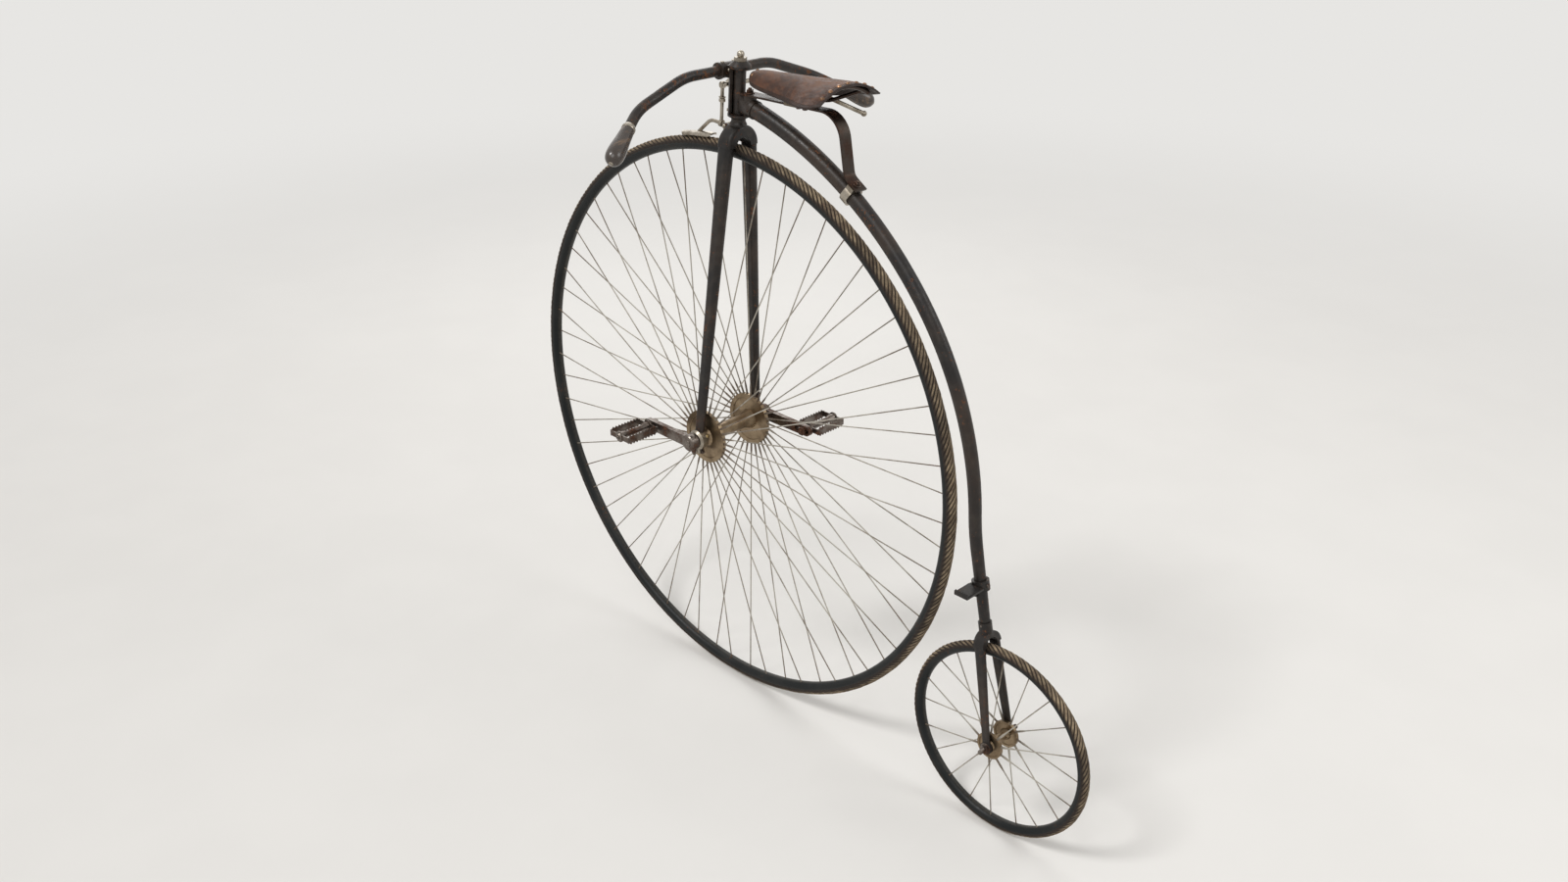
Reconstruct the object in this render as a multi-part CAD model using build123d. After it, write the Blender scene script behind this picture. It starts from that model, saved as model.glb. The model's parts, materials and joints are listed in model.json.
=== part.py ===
from build123d import *
import math
import os

# A high-wheel bicycle. Millimetres, +X forward, +Y to the rider's left, +Z up.
# Every piece is drawn round the front axle and moved at the end, so that the
# origin is the point of the saddle where the rider sits.

# Clearances
SEAT_GAP = 0.3            # between pieces that rest against each other
RUNNING_GAP = 0.05        # radial, between a shaft and the hole that it turns in
FIXED_GAP = 0.1           # radial, between a shaft and a piece that is fast on it

# Front wheel
FRONT_DIAMETER = 1372.0   # over the tyre, a 54-inch wheel
FRONT_TYRE_WIDTH = 22.0
FRONT_TYRE_PROUD = 12.0   # rubber that stands out of the rim
FRONT_RIM_DEPTH = 20.0
FRONT_SPOKES = 64
FRONT_SPOKE_WIDTH = 2.8
FRONT_FLANGE_DIAMETER = 127.0
FRONT_FLANGE_SPACING = 140.0
FRONT_FLANGE_WIDTH = 9.0
FRONT_HUB_OVERHANG = 3.5  # barrel beyond the flange's outer face
FRONT_AXLE_DIAMETER = 18.0

# Rear wheel
REAR_DIAMETER = 457.0     # an 18-inch wheel
REAR_TYRE_WIDTH = 19.0
REAR_TYRE_PROUD = 10.0
REAR_RIM_DEPTH = 16.0
REAR_SPOKES = 20
REAR_SPOKE_WIDTH = 2.6
REAR_FLANGE_DIAMETER = 62.0
REAR_FLANGE_SPACING = 56.0
REAR_FLANGE_WIDTH = 7.0
REAR_HUB_OVERHANG = 3.0
REAR_AXLE_DIAMETER = 10.0
REAR_AXLE_FREE_END = 12.0 # shaft that stands out of each nut

# Both wheels
RIM_WALL = 2.0
SPOKE_OFFSET_AT_RIM = 3.0 # from the rim's middle plane, to the spoke's own side
WHEEL_GAP = 35.5          # between the two tyres
HUB_EDGE_SHARE = 0.18     # of the flange's radius, its thick edge that holds the spokes
HUB_WEB_SHARE = 0.25      # of the flange's width, cut away at each face inside that edge

# Steering axis and fork
RAKE = 4.0                # degrees, the top of the steering axis leans back
FORK_TYRE_GAP = 19.0      # over the tyre, under the crown
FORK_SIDE_GAP = 8.0       # beside the rim, inside the crown
CROWN_HEIGHT = 34.0       # from the arch's inside up to the head's base
CROWN_LENGTH = 38.0       # fore and aft
BLADE_TOP_WIDTH = 24.0
BLADE_FOOT_LENGTH = 24.0
BLADE_FOOT_WIDTH = 15.0
CROWN_EDGE_RADIUS = 8.0   # of its rounded shoulders
BEARING_DIAMETER = 48.0
BEARING_WIDTH = 26.0
BEARING_CHAMFER = 5.0
BEARING_EAR_LENGTH = 18.0 # fore and aft, over both clamp ears
BEARING_EAR_WIDTH = 14.0
BEARING_EAR_DROP = 11.0   # below the housing
BEARING_EAR_ROOT = 8.0    # inside the housing
BEARING_EAR_RADIUS = 4.0  # of their corners
BEARING_SLIT = 2.0        # between the ears, through the housing's wall
BEARING_BOLT_DIAMETER = 5.0
OIL_CUP_DIAMETER = 7.0
OIL_CUP_HEIGHT = 10.0     # with its lid
OIL_CUP_LID = 3.0         # height of the lid
OIL_CUP_LID_EDGE = 1.0    # of the lid beyond the cup
OIL_CUP_ANGLE = 30.0      # degrees that the cup points up, behind the axle

# Steering head and neck
HEAD_BASE_HEIGHT = 12.0
HEAD_OPENING = 96.0       # height of the opening that the neck stands in
HEAD_CAP_HEIGHT = 14.0
HEAD_DIAMETER = 46.0
HEAD_WALL = 6.0
HEAD_WALL_ANGLE = 75.0    # degrees to each side of straight ahead
HEAD_FOOT_DIAMETER = 37.0 # where the base stands on the crown
HEAD_FOOT_HEIGHT = 6.0    # from the crown's top to the waist
HEAD_WAIST_DIAMETER = 31.0
HEAD_LIP = 5.0            # height of the base's rim and of the cap's straight edge
HEAD_BEAD = 0.8           # of both rims beyond the front wall
HEAD_CROWN_SHARE = 0.64   # of the cap's radius, the flat on its top
SPINDLE_DIAMETER = 26.0
PIVOT_DIAMETER = 12.0
PIVOT_LENGTH = 9.0
SPINDLE_PLAY = 0.6        # above and below the spindle
LOCK_NUT_RADIUS = 14.0    # over its corners
LOCK_NUT_HEIGHT = 8.0
SCREW_PROUD = 14.0        # of the screw over the cap, under its round end
NECK_REACH = 42.0         # from the steering axis to the backbone's tube
NECK_WIDTH = 20.0
NECK_HEIGHT = 42.0
NECK_COLLAR_WALL = 2.0    # round the backbone's end
NECK_COLLAR_LENGTH = 10.0
NECK_SOCKET_FLOOR = 2.0
SPRING_SEAT_PROUD = 9.0   # of the spring's seat over the backbone's end
SPRING_SEAT_BEFORE = 8.0  # of the seat's middle, in front of the backbone's end

# Backbone
BACKBONE_TYRE_GAP = 33.0
BACKBONE_FRONT_DIAMETER = 36.0
BACKBONE_MIDDLE_DIAMETER = 31.0
BACKBONE_LOWER_DIAMETER = 27.0    # where the reverse arc starts
BACKBONE_STRAIGHT_DIAMETER = 26.4 # where the straight end starts
BACKBONE_REAR_DIAMETER = 23.0
FRONT_ARC_RADIUS = 900.0
FRONT_ARC_END = 140.0     # degrees round the front axle, from straight ahead
MIDDLE_ARC_END = 176.0
REVERSE_ARC_RADIUS = 600.0

# Rear fork
REAR_CROWN_GAP = 16.0     # over the rear tyre
REAR_CROWN_THICKNESS = 22.0
REAR_CROWN_LENGTH = 26.0
REAR_SIDE_GAP = 6.0
REAR_BLADE_TOP_WIDTH = 13.0
REAR_BLADE_FOOT_LENGTH = 18.0
REAR_BLADE_FOOT_WIDTH = 8.0
REAR_EYE_DIAMETER = 28.0
REAR_NUT_HEIGHT = 8.0
REAR_COLLAR_WALL = 3.0    # round the backbone's lower end
REAR_COLLAR_LENGTH = 12.0
REAR_SOCKET_GAP = 0.6

# Cranks and pedals
CRANK_THROW = 140.0
CRANK_BOSS_DIAMETER = 40.0
CRANK_BOSS_WIDTH = 22.0
CRANK_ARM_WIDTH = 12.0
CRANK_SLOT_LENGTH = 34.0
CRANK_ROOT_DIAMETER = 27.0
CRANK_TIP_DIAMETER = 24.0
CRANK_CHAMFER = 2.5
PEDAL_PIN_DIAMETER = 12.0
PEDAL_WIDTH = 88.0
PEDAL_LENGTH = 66.0
PEDAL_HEIGHT = 24.0
PEDAL_PLATE = 2.6
PEDAL_TEETH = 9
PEDAL_TOOTH_DEPTH = 4.5
PEDAL_BARREL_DIAMETER = 21.0
PEDAL_COLLAR_WIDTH = 5.0
PEDAL_PIN_SHARE = 0.85    # of the pin's diameter, the shaft inside the barrel
PEDAL_NUT_SHARE = 1.75    # of the pin's radius, over the nut's corners
PEDAL_NUT_HEIGHT = 8.0
PEDAL_PIN_END = 12.0      # of the pin inside the crank
PEDAL_BARREL_SHARE = 0.72 # of the barrel's diameter, its waist
PEDAL_CAP_HEIGHT = 4.0

# Handlebar and grips
BAR_DIAMETER = 22.0
BAR_FORWARD = 37.0        # in front of the steering axis
BAR_BELOW_CAP = 14.0
BAR_LUG_WIDTH = 58.0
BAR_LUG_WALL = 5.0
BAR_LUG_BEAD = 1.5        # of the raised ring at each end of the lug
BAR_LUG_BEAD_WIDTH = 5.0
BAR_LUG_BRIDGE_WIDTH = 28.0
BAR_HALF_WIDTH = 372.0
BAR_STRAIGHT = 120.0      # from the middle to the first bend
BAR_BEND_SIDE = BAR_HALF_WIDTH - 122.0    # of the second bend, from the middle
BAR_BEND = (-8.0, BAR_BEND_SIDE, -45.0)   # forward, left, up from the lug
BAR_END = (-78.0, BAR_HALF_WIDTH, -108.0)
BAR_FIRST_RADIUS = 160.0
BAR_SECOND_RADIUS = 130.0
GRIP_LENGTH = 104.0
GRIP_NECK_DIAMETER = 26.0
GRIP_BELLY_DIAMETER = 38.0
GRIP_END_WALL = 9.0

# Brake
BRAKE_ROD_DIAMETER = 10.0
BRAKE_PIVOT_LEFT = -24.0  # across, from the middle of the handlebar's lug
BRAKE_PIVOT_FORWARD = 52.0
BRAKE_PIVOT_DROP = 36.0   # under the handlebar
LEVER_BEND = (46.0, -130.0, -38.0)    # forward, left, up from the handlebar's lug
LEVER_SECOND_BEND = (34.0, -BAR_BEND_SIDE, -78.0)
LEVER_END = (-34.0, 10.0 - BAR_HALF_WIDTH, -136.0)
BRAKE_STUD_RADIUS = 4.0
LEVER_RADII = (60.0, 160.0, 120.0)
LEVER_BOSS_RADIUS = 9.0
LEVER_KNOB_RADIUS = 7.0
SPOON_START_ANGLE = 84.0  # degrees round the axle, the shoe's rear edge
SPOON_LENGTH_ANGLE = 8.5
SPOON_WIDTH = 30.0
SPOON_THICKNESS = 4.0
SPOON_CUP = 5.0           # how far its edges come down beside the tyre
SPOON_TYRE_GAP = 6.0
SPOON_PIVOT_FORWARD = 13.0  # in front of the crown's face
SPOON_PIVOT_HEIGHT = 32.0 # over the tyre
SPOON_ARM_REACH = 54.0    # from its pivot to the arm's bend
SPOON_ARM_RADIUS = 30.0   # of the arm's bend
SPOON_EAR_WIDTH = 5.0
SPOON_EAR_RADIUS = 7.0
SPOON_PIN_RADIUS = 3.5

# Saddle
SPRING_WIDTH = 30.0
SPRING_THICKNESS = 4.0
SPRING_END_ANGLE = 124.0  # degrees round the front arc, where the tail rests
SPRING_REAR_BEND = 112.0  # from the saddle's middle back to the bend
SPRING_REAR_RADIUS = 56.0
SPRING_TAIL_RADIUS = 22.0
SPRING_TAIL_AHEAD = 24.0  # of the tail that lies along the backbone
SPRING_TAIL_BEHIND = 16.0
CLIP_HEIGHT = 6.0         # of the sliding clip, between tube and tail
CLIP_LENGTH = 18.0
CLIP_WALL = 4.0
CLIP_GAP = 0.8            # radial, so that the clip slides on the tapered tube
SADDLE_MIDDLE = -238.0    # along X from the front axle
SADDLE_HEIGHT = 58.0      # of the saddle's top over its spring
LEATHER_THICKNESS = 5.0
RAIL_DIAMETER = 8.0
RAIL_SPACING = 46.0
RAIL_HEIGHT = 10.0        # of the rails' middle over the spring
RAIL_LEVEL_HALF = 50.0    # of the rails' level part, from the saddle's middle
RAIL_RADII = (60.0, 50.0)
RAIL_REAR_SIDE = 62.0     # from the middle plane, where a rail meets the bent bar
SADDLE_BLOCK_LENGTH = 36.0
SADDLE_BLOCK_SIDE = 10.0  # beyond each rail's middle
CANTLE_BACK = 110.0       # the bent bar under the wide end, behind the saddle's middle
CANTLE_HALF_WIDTH = 74.0
CANTLE_DIAMETER = 10.0
NOSE_AHEAD = 104.0
NOSE_LENGTH = 16.0
NOSE_HEIGHT = 18.0
NOSE_WIDTH = 14.0

# Step
STEP_BEFORE_CROWN = 96.0  # along the backbone
STEP_REACH = 66.0
STEP_LENGTH = 34.0
STEP_THICKNESS = 5.0
STEP_CLAMP_WALL = 6.0
STEP_CLAMP_LENGTH = 22.0
STEP_CLAMP_GAP = 0.5
STEP_BRACE_DEPTH = 24.0
STEP_BRACE_WIDTH = 6.0
STEP_TEETH = 6
STEP_TOOTH_DEPTH = 4.0
STEP_LIP_THICKNESS = 2.5
STEP_PAD_HEIGHT = 2.0     # of the raised tread
STEP_PAD_GAP = 1.5        # between the tread and the clamp ring or the lip

FRONT_RADIUS = FRONT_DIAMETER / 2
REAR_RADIUS = REAR_DIAMETER / 2
WHEEL_CENTRE_DISTANCE = FRONT_RADIUS + REAR_RADIUS + WHEEL_GAP
REAR_AXLE_Z = REAR_RADIUS - FRONT_RADIUS
REAR_AXLE_X = -math.sqrt(WHEEL_CENTRE_DISTANCE ** 2 - REAR_AXLE_Z ** 2)

FRONT_HUB_END = FRONT_FLANGE_SPACING / 2 + FRONT_FLANGE_WIDTH / 2 + FRONT_HUB_OVERHANG
BEARING_START = FRONT_HUB_END + 0.5
BEARING_MIDDLE = BEARING_START + BEARING_WIDTH / 2
BEARING_END = BEARING_START + BEARING_WIDTH
CRANK_START = BEARING_END + 1.5
CRANK_END = CRANK_START + CRANK_BOSS_WIDTH
ARM_START = CRANK_START + (CRANK_BOSS_WIDTH - CRANK_ARM_WIDTH) / 2
ARM_END = ARM_START + CRANK_ARM_WIDTH
PEDAL_START = ARM_END + PEDAL_COLLAR_WIDTH
REAR_HUB_END = REAR_FLANGE_SPACING / 2 + REAR_FLANGE_WIDTH / 2 + REAR_HUB_OVERHANG
REAR_EYE_START = REAR_HUB_END + 0.8

RIM_HALF_WIDTH = FRONT_TYRE_WIDTH / 2 + SEAT_GAP + RIM_WALL
REAR_RIM_HALF_WIDTH = REAR_TYRE_WIDTH / 2 + SEAT_GAP + RIM_WALL
CROWN_INNER_RADIUS = RIM_HALF_WIDTH + FORK_SIDE_GAP
CROWN_OUTER_RADIUS = CROWN_INNER_RADIUS + BLADE_TOP_WIDTH
CROWN_CENTRE = FRONT_RADIUS + FORK_TYRE_GAP - CROWN_INNER_RADIUS
HEAD_BASE = CROWN_CENTRE + CROWN_INNER_RADIUS + CROWN_HEIGHT
HEAD_FLOOR = HEAD_BASE + HEAD_BASE_HEIGHT
HEAD_CEILING = HEAD_FLOOR + HEAD_OPENING
HEAD_TOP = HEAD_CEILING + HEAD_CAP_HEIGHT
BAR_HEIGHT = HEAD_TOP - BAR_BELOW_CAP - BAR_DIAMETER / 2

# The backbone's line: a wide arc from the neck, an arc round the front wheel, a
# slight reverse arc and a straight end that points at the rear axle.
HUG_RADIUS = FRONT_RADIUS + BACKBONE_TYRE_GAP + BACKBONE_MIDDLE_DIAMETER / 2
FRONT_ARC_CENTRE_X = (HUG_RADIUS - FRONT_ARC_RADIUS) * math.cos(math.radians(FRONT_ARC_END))
FRONT_ARC_CENTRE_Z = (HUG_RADIUS - FRONT_ARC_RADIUS) * math.sin(math.radians(FRONT_ARC_END))
NECK_AXIS_X = -math.sin(math.radians(RAKE)) * (HEAD_FLOOR + NECK_HEIGHT / 2)
FRONT_ARC_START = math.degrees(
    math.acos((NECK_AXIS_X - NECK_REACH - FRONT_ARC_CENTRE_X) / FRONT_ARC_RADIUS))
NECK_END_X = NECK_AXIS_X - NECK_REACH
NECK_END_Z = FRONT_ARC_CENTRE_Z + FRONT_ARC_RADIUS * math.sin(math.radians(FRONT_ARC_START))
SPRING_SEAT = NECK_END_Z + BACKBONE_FRONT_DIAMETER / 2 + SPRING_SEAT_PROUD
SPRING_TOP = SPRING_SEAT + SEAT_GAP + SPRING_THICKNESS
SADDLE_TOP = SPRING_TOP + SADDLE_HEIGHT
RIDER_POINT = (SADDLE_MIDDLE, 0.0, SADDLE_TOP)
REVERSE_CENTRE_X = (HUG_RADIUS + REVERSE_ARC_RADIUS) * math.cos(math.radians(MIDDLE_ARC_END))
REVERSE_CENTRE_Z = (HUG_RADIUS + REVERSE_ARC_RADIUS) * math.sin(math.radians(MIDDLE_ARC_END))
REVERSE_TO_AXLE = math.hypot(REAR_AXLE_X - REVERSE_CENTRE_X, REAR_AXLE_Z - REVERSE_CENTRE_Z)
REVERSE_ARC_END = math.degrees(
    math.atan2(REAR_AXLE_Z - REVERSE_CENTRE_Z, REAR_AXLE_X - REVERSE_CENTRE_X)
    + math.acos(REVERSE_ARC_RADIUS / REVERSE_TO_AXLE))
REAR_CROWN_TOP = REAR_RADIUS + REAR_CROWN_GAP + REAR_CROWN_THICKNESS
STRAIGHT_LENGTH = math.sqrt(REVERSE_TO_AXLE ** 2 - REVERSE_ARC_RADIUS ** 2) - REAR_CROWN_TOP

RAKED = Rot(0, -RAKE, 0)
MIRRORED = Plane.XZ
SIDES = (1, -1)
PIECES = {}


def on_arc(centre_x, centre_z, radius, degrees):
    """Point of an arc in the bicycle's middle plane."""
    angle = math.radians(degrees)
    return Vector(centre_x + radius * math.cos(angle), 0, centre_z + radius * math.sin(angle))


def turned(outline):
    """Solid turned about the Y axis from corners given as (radius, along the axis)."""
    return revolve(make_face(Polyline(*outline, close=True)), Axis.Y)


def rod_between(start, end, radius):
    """Straight round rod."""
    run = Vector(*end) - Vector(*start)
    plane = Plane(origin=start, z_dir=run.normalized())
    return plane * Cylinder(radius, run.length, align=(Align.CENTER, Align.CENTER, Align.MIN))


def turned_upright(outline):
    """Solid turned about the Z axis from corners given as (radius, height)."""
    return revolve(Plane.XZ * make_face(Polyline(*outline, close=True)), Axis.Z)


def pin_across(place, radius, length):
    """Round pin along the Y axis, with its middle at a place."""
    return Pos(*place) * Rot(90, 0, 0) * Cylinder(radius, length)


def saw_teeth(start, end, teeth, low, high):
    """Corners of a row of saw teeth between two places, given as (along, height)."""
    pitch = (end - start) / teeth
    corners = []
    for number in range(teeth):
        corners += [(start + number * pitch, low), (start + (number + 0.5) * pitch, high)]
    return corners + [(end, low)]


def swept_rod(points, radii, section):
    """Rod of one section along straight runs joined by tangent arcs."""
    path = FilletPolyline(*points, radius=radii)
    start = path @ 0
    plane = Plane(origin=start, z_dir=path % 0)
    return sweep(plane * section, path=path)


# Wheels

def tyre(diameter, width, proud, rim_depth):
    """Solid rubber ring: round outside, round again where it lies in the rim."""
    outer = diameter / 2 - width / 2
    inner = diameter / 2 - proud - rim_depth + RIM_WALL + SEAT_GAP + width / 2
    middle = Pos((outer + inner) / 2, 0)
    return revolve(middle * SlotCenterToCenter(outer - inner, width), Axis.Y)


def rim(diameter, width, proud, rim_depth):
    """U-shaped steel rim that holds the tyre up to its lips."""
    half = width / 2 + SEAT_GAP + RIM_WALL
    floor = diameter / 2 - proud - rim_depth
    lip = diameter / 2 - proud
    reach = 2 * rim_depth
    outside = Pos(floor + half + reach / 2, 0) * SlotCenterToCenter(reach, 2 * half)
    inside = Pos(floor + half + reach / 2, 0) * SlotCenterToCenter(reach, 2 * (half - RIM_WALL))
    beyond = Pos(lip, 0) * Rectangle(2 * reach, 4 * half, align=(Align.MIN, Align.CENTER))
    return revolve(outside - inside - beyond, Axis.Y)


def spokes(count, spoke_width, flange_diameter, flange_spacing, rim_floor):
    """Straight spokes, in turn to the left and the right flange."""
    wires = []
    for number in range(count):
        side = 1 if number % 2 == 0 else -1
        turn = Rot(0, 360.0 * number / count, 0)
        hub_end = (0, side * flange_spacing / 2, flange_diameter / 2 + SEAT_GAP)
        rim_end = (0, side * SPOKE_OFFSET_AT_RIM, rim_floor - SEAT_GAP)
        wires.append(turn * rod_between(hub_end, rim_end, spoke_width / 2))
    return Compound(children=wires)


def hub(axle_gap, axle, flange_diameter, flange_spacing, flange_width, overhang):
    """Gunmetal hub: waisted barrel between two flanges with thick edges."""
    bore = axle / 2 + axle_gap
    edge = flange_diameter / 2
    ring = edge * (1 - HUB_EDGE_SHARE)
    inner_face = flange_spacing / 2 - flange_width / 2
    outer_face = flange_spacing / 2 + flange_width / 2
    web = flange_width * HUB_WEB_SHARE
    end = outer_face + overhang
    barrel = axle * 0.95
    root = axle * 1.35
    nose = axle * 1.05
    half = [
        (barrel, 0),
        (barrel, inner_face * 0.72),
        (root, inner_face + web),
        (ring, inner_face + web),
        (ring + web / 2, inner_face),
        (edge, inner_face),
        (edge, outer_face),
        (ring + web / 2, outer_face),
        (ring, outer_face - web),
        (root, outer_face - web),
        (nose, end),
        (bore, end),
    ]
    other_half = [(radius, -along) for radius, along in reversed(half)]
    return turned(other_half[:-1] + half)


def rim_floor(diameter, proud, rim_depth):
    return diameter / 2 - proud - rim_depth


PIECES["front_tyre"] = tyre(FRONT_DIAMETER, FRONT_TYRE_WIDTH, FRONT_TYRE_PROUD, FRONT_RIM_DEPTH)
PIECES["front_rim"] = rim(FRONT_DIAMETER, FRONT_TYRE_WIDTH, FRONT_TYRE_PROUD, FRONT_RIM_DEPTH)
PIECES["front_spokes"] = spokes(
    FRONT_SPOKES, FRONT_SPOKE_WIDTH, FRONT_FLANGE_DIAMETER, FRONT_FLANGE_SPACING,
    rim_floor(FRONT_DIAMETER, FRONT_TYRE_PROUD, FRONT_RIM_DEPTH))
PIECES["front_hub"] = hub(
    FIXED_GAP, FRONT_AXLE_DIAMETER, FRONT_FLANGE_DIAMETER, FRONT_FLANGE_SPACING,
    FRONT_FLANGE_WIDTH, FRONT_HUB_OVERHANG)
PIECES["front_axle"] = turned([
    (0, -CRANK_END), (FRONT_AXLE_DIAMETER / 2, -CRANK_END),
    (FRONT_AXLE_DIAMETER / 2, CRANK_END), (0, CRANK_END)])

REAR_AXLE_PLACE = Pos(REAR_AXLE_X, 0, REAR_AXLE_Z)
PIECES["rear_tyre"] = REAR_AXLE_PLACE * tyre(
    REAR_DIAMETER, REAR_TYRE_WIDTH, REAR_TYRE_PROUD, REAR_RIM_DEPTH)
PIECES["rear_rim"] = REAR_AXLE_PLACE * rim(
    REAR_DIAMETER, REAR_TYRE_WIDTH, REAR_TYRE_PROUD, REAR_RIM_DEPTH)
PIECES["rear_spokes"] = REAR_AXLE_PLACE * spokes(
    REAR_SPOKES, REAR_SPOKE_WIDTH, REAR_FLANGE_DIAMETER, REAR_FLANGE_SPACING,
    rim_floor(REAR_DIAMETER, REAR_TYRE_PROUD, REAR_RIM_DEPTH))
PIECES["rear_hub"] = REAR_AXLE_PLACE * hub(
    RUNNING_GAP, REAR_AXLE_DIAMETER, REAR_FLANGE_DIAMETER, REAR_FLANGE_SPACING,
    REAR_FLANGE_WIDTH, REAR_HUB_OVERHANG)


# Cranks and pedals

def crank(side):
    """Slotted crank, drawn pointing forward and on the left, then turned to its side."""
    root = Circle(CRANK_ROOT_DIAMETER / 2)
    tip = Pos(CRANK_THROW + CRANK_SLOT_LENGTH / 4, 0) * Circle(CRANK_TIP_DIAMETER / 2)
    arm = make_hull(root.edges() + tip.edges())
    slot = Pos(CRANK_THROW - CRANK_SLOT_LENGTH / 6, 0) * SlotCenterToCenter(
        CRANK_SLOT_LENGTH, PEDAL_PIN_DIAMETER + 2 * FIXED_GAP)
    plane = Plane(origin=(0, ARM_START, 0), x_dir=(1, 0, 0), z_dir=(0, 1, 0))
    lever = extrude(plane * (arm - slot), CRANK_ARM_WIDTH)
    radius = CRANK_BOSS_DIAMETER / 2
    boss = turned([
        (0, CRANK_START), (radius - CRANK_CHAMFER, CRANK_START),
        (radius, CRANK_START + CRANK_CHAMFER), (radius, CRANK_END - CRANK_CHAMFER),
        (radius - CRANK_CHAMFER, CRANK_END), (0, CRANK_END)])
    hole = pin_across(
        (0, (CRANK_START + CRANK_END) / 2, 0),
        FRONT_AXLE_DIAMETER / 2 + FIXED_GAP, 2 * CRANK_BOSS_WIDTH)
    whole = lever + boss - hole
    return whole if side > 0 else Rot(0, 0, 180) * whole


def pedal_pin():
    """Pin of the left pedal: nut inside the crank, collar outside, shaft for the barrel."""
    radius = PEDAL_PIN_DIAMETER / 2
    collar = radius * 1.6
    thin = radius * PEDAL_PIN_SHARE
    inner_end = ARM_START - PEDAL_PIN_END
    collar_end = PEDAL_START - 1
    outer_end = PEDAL_START + PEDAL_WIDTH - PEDAL_CAP_HEIGHT
    nut = Rot(90, 0, 0) * extrude(RegularPolygon(radius * PEDAL_NUT_SHARE, 6), PEDAL_NUT_HEIGHT)
    nut = Pos(0, ARM_START - SEAT_GAP, 0) * nut
    shaft = turned([
        (0, inner_end), (radius - 1, inner_end), (radius, inner_end + 2),
        (radius, ARM_END + SEAT_GAP), (collar, ARM_END + SEAT_GAP),
        (collar, collar_end), (thin, collar_end), (thin, outer_end), (0, outer_end)])
    return Pos(CRANK_THROW, 0, 0) * (shaft + nut)


def toothed_plate(x):
    """Long plate of a pedal, with saw teeth above and below."""
    top = PEDAL_HEIGHT / 2
    valley = top - PEDAL_TOOTH_DEPTH
    end = PEDAL_START + PEDAL_WIDTH
    plain = 4
    upper = saw_teeth(PEDAL_START + plain, end - plain, PEDAL_TEETH, valley, top)
    upper = [(PEDAL_START, valley)] + upper + [(end, valley)]
    lower = [(along, -height) for along, height in reversed(upper)]
    face = Plane.YZ.offset(x) * make_face(Polyline(*(upper + lower), close=True))
    return extrude(face, PEDAL_PLATE)


def pedal_cage():
    """Two toothed plates joined by an end plate at each side."""
    long_plates = [
        toothed_plate(PEDAL_LENGTH / 2 - PEDAL_PLATE),
        toothed_plate(-PEDAL_LENGTH / 2)]
    cage = long_plates[0] + long_plates[1]
    bore = PEDAL_BARREL_DIAMETER / 2 + FIXED_GAP
    for along in (PEDAL_START, PEDAL_START + PEDAL_WIDTH - PEDAL_PLATE):
        plane = Plane(origin=(0, along, 0), x_dir=(1, 0, 0), z_dir=(0, 1, 0))
        height = PEDAL_HEIGHT - 2 * PEDAL_TOOTH_DEPTH - 2
        bar = Rectangle(PEDAL_LENGTH - 2, height) + Circle(PEDAL_BARREL_DIAMETER / 2 + 3)
        cage += extrude(plane * (bar - Circle(bore)), PEDAL_PLATE)
    return Pos(CRANK_THROW, 0, 0) * cage


def pedal_barrel():
    """Barrel between the end plates, closed by a dust cap at its outer end."""
    radius = PEDAL_BARREL_DIAMETER / 2
    waist = radius * PEDAL_BARREL_SHARE
    bore = PEDAL_PIN_DIAMETER / 2 * PEDAL_PIN_SHARE + RUNNING_GAP
    end = PEDAL_START + PEDAL_WIDTH
    bore_end = end - PEDAL_CAP_HEIGHT + 0.5
    cheek = 12
    taper = 10
    return Pos(CRANK_THROW, 0, 0) * turned([
        (bore, PEDAL_START), (radius, PEDAL_START),
        (radius, PEDAL_START + cheek), (waist, PEDAL_START + cheek + taper),
        (waist, end - cheek - taper), (radius, end - cheek),
        (radius, end + 1), (waist, end + PEDAL_CAP_HEIGHT), (0, end + PEDAL_CAP_HEIGHT),
        (0, bore_end), (bore, bore_end)])


PIECES["crank_left"] = crank(1)
PIECES["crank_right"] = crank(-1)
PIECES["pedal_pin_left"] = pedal_pin()
PIECES["pedal_pin_right"] = Rot(0, 0, 180) * pedal_pin()
PIECES["pedal_cage_left"] = pedal_cage()
PIECES["pedal_cage_right"] = Rot(0, 0, 180) * pedal_cage()
PIECES["pedal_barrel_left"] = pedal_barrel()
PIECES["pedal_barrel_right"] = Rot(0, 0, 180) * pedal_barrel()


# Fork and head, drawn with the steering axis upright

def fork_blade(side):
    """Tapered flat-oval blade from the crown's foot to the bearing."""
    top_y = side * (CROWN_INNER_RADIUS + BLADE_TOP_WIDTH / 2)
    foot_y = side * BEARING_MIDDLE
    top = Vector(0, top_y, CROWN_CENTRE - SEAT_GAP)
    foot = Vector(0, foot_y, 0)
    blade = loft([
        Plane(origin=foot, x_dir=(1, 0, 0), z_dir=(0, 0, 1))
        * SlotOverall(BLADE_FOOT_LENGTH, BLADE_FOOT_WIDTH),
        Plane(origin=top, x_dir=(1, 0, 0), z_dir=(0, 0, 1))
        * SlotOverall(CROWN_LENGTH, BLADE_TOP_WIDTH)], ruled=True)
    room = Rot(90, 0, 0) * Cylinder(BEARING_DIAMETER / 2 + SEAT_GAP, 4 * BEARING_END)
    return RAKED * (blade - room)


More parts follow.
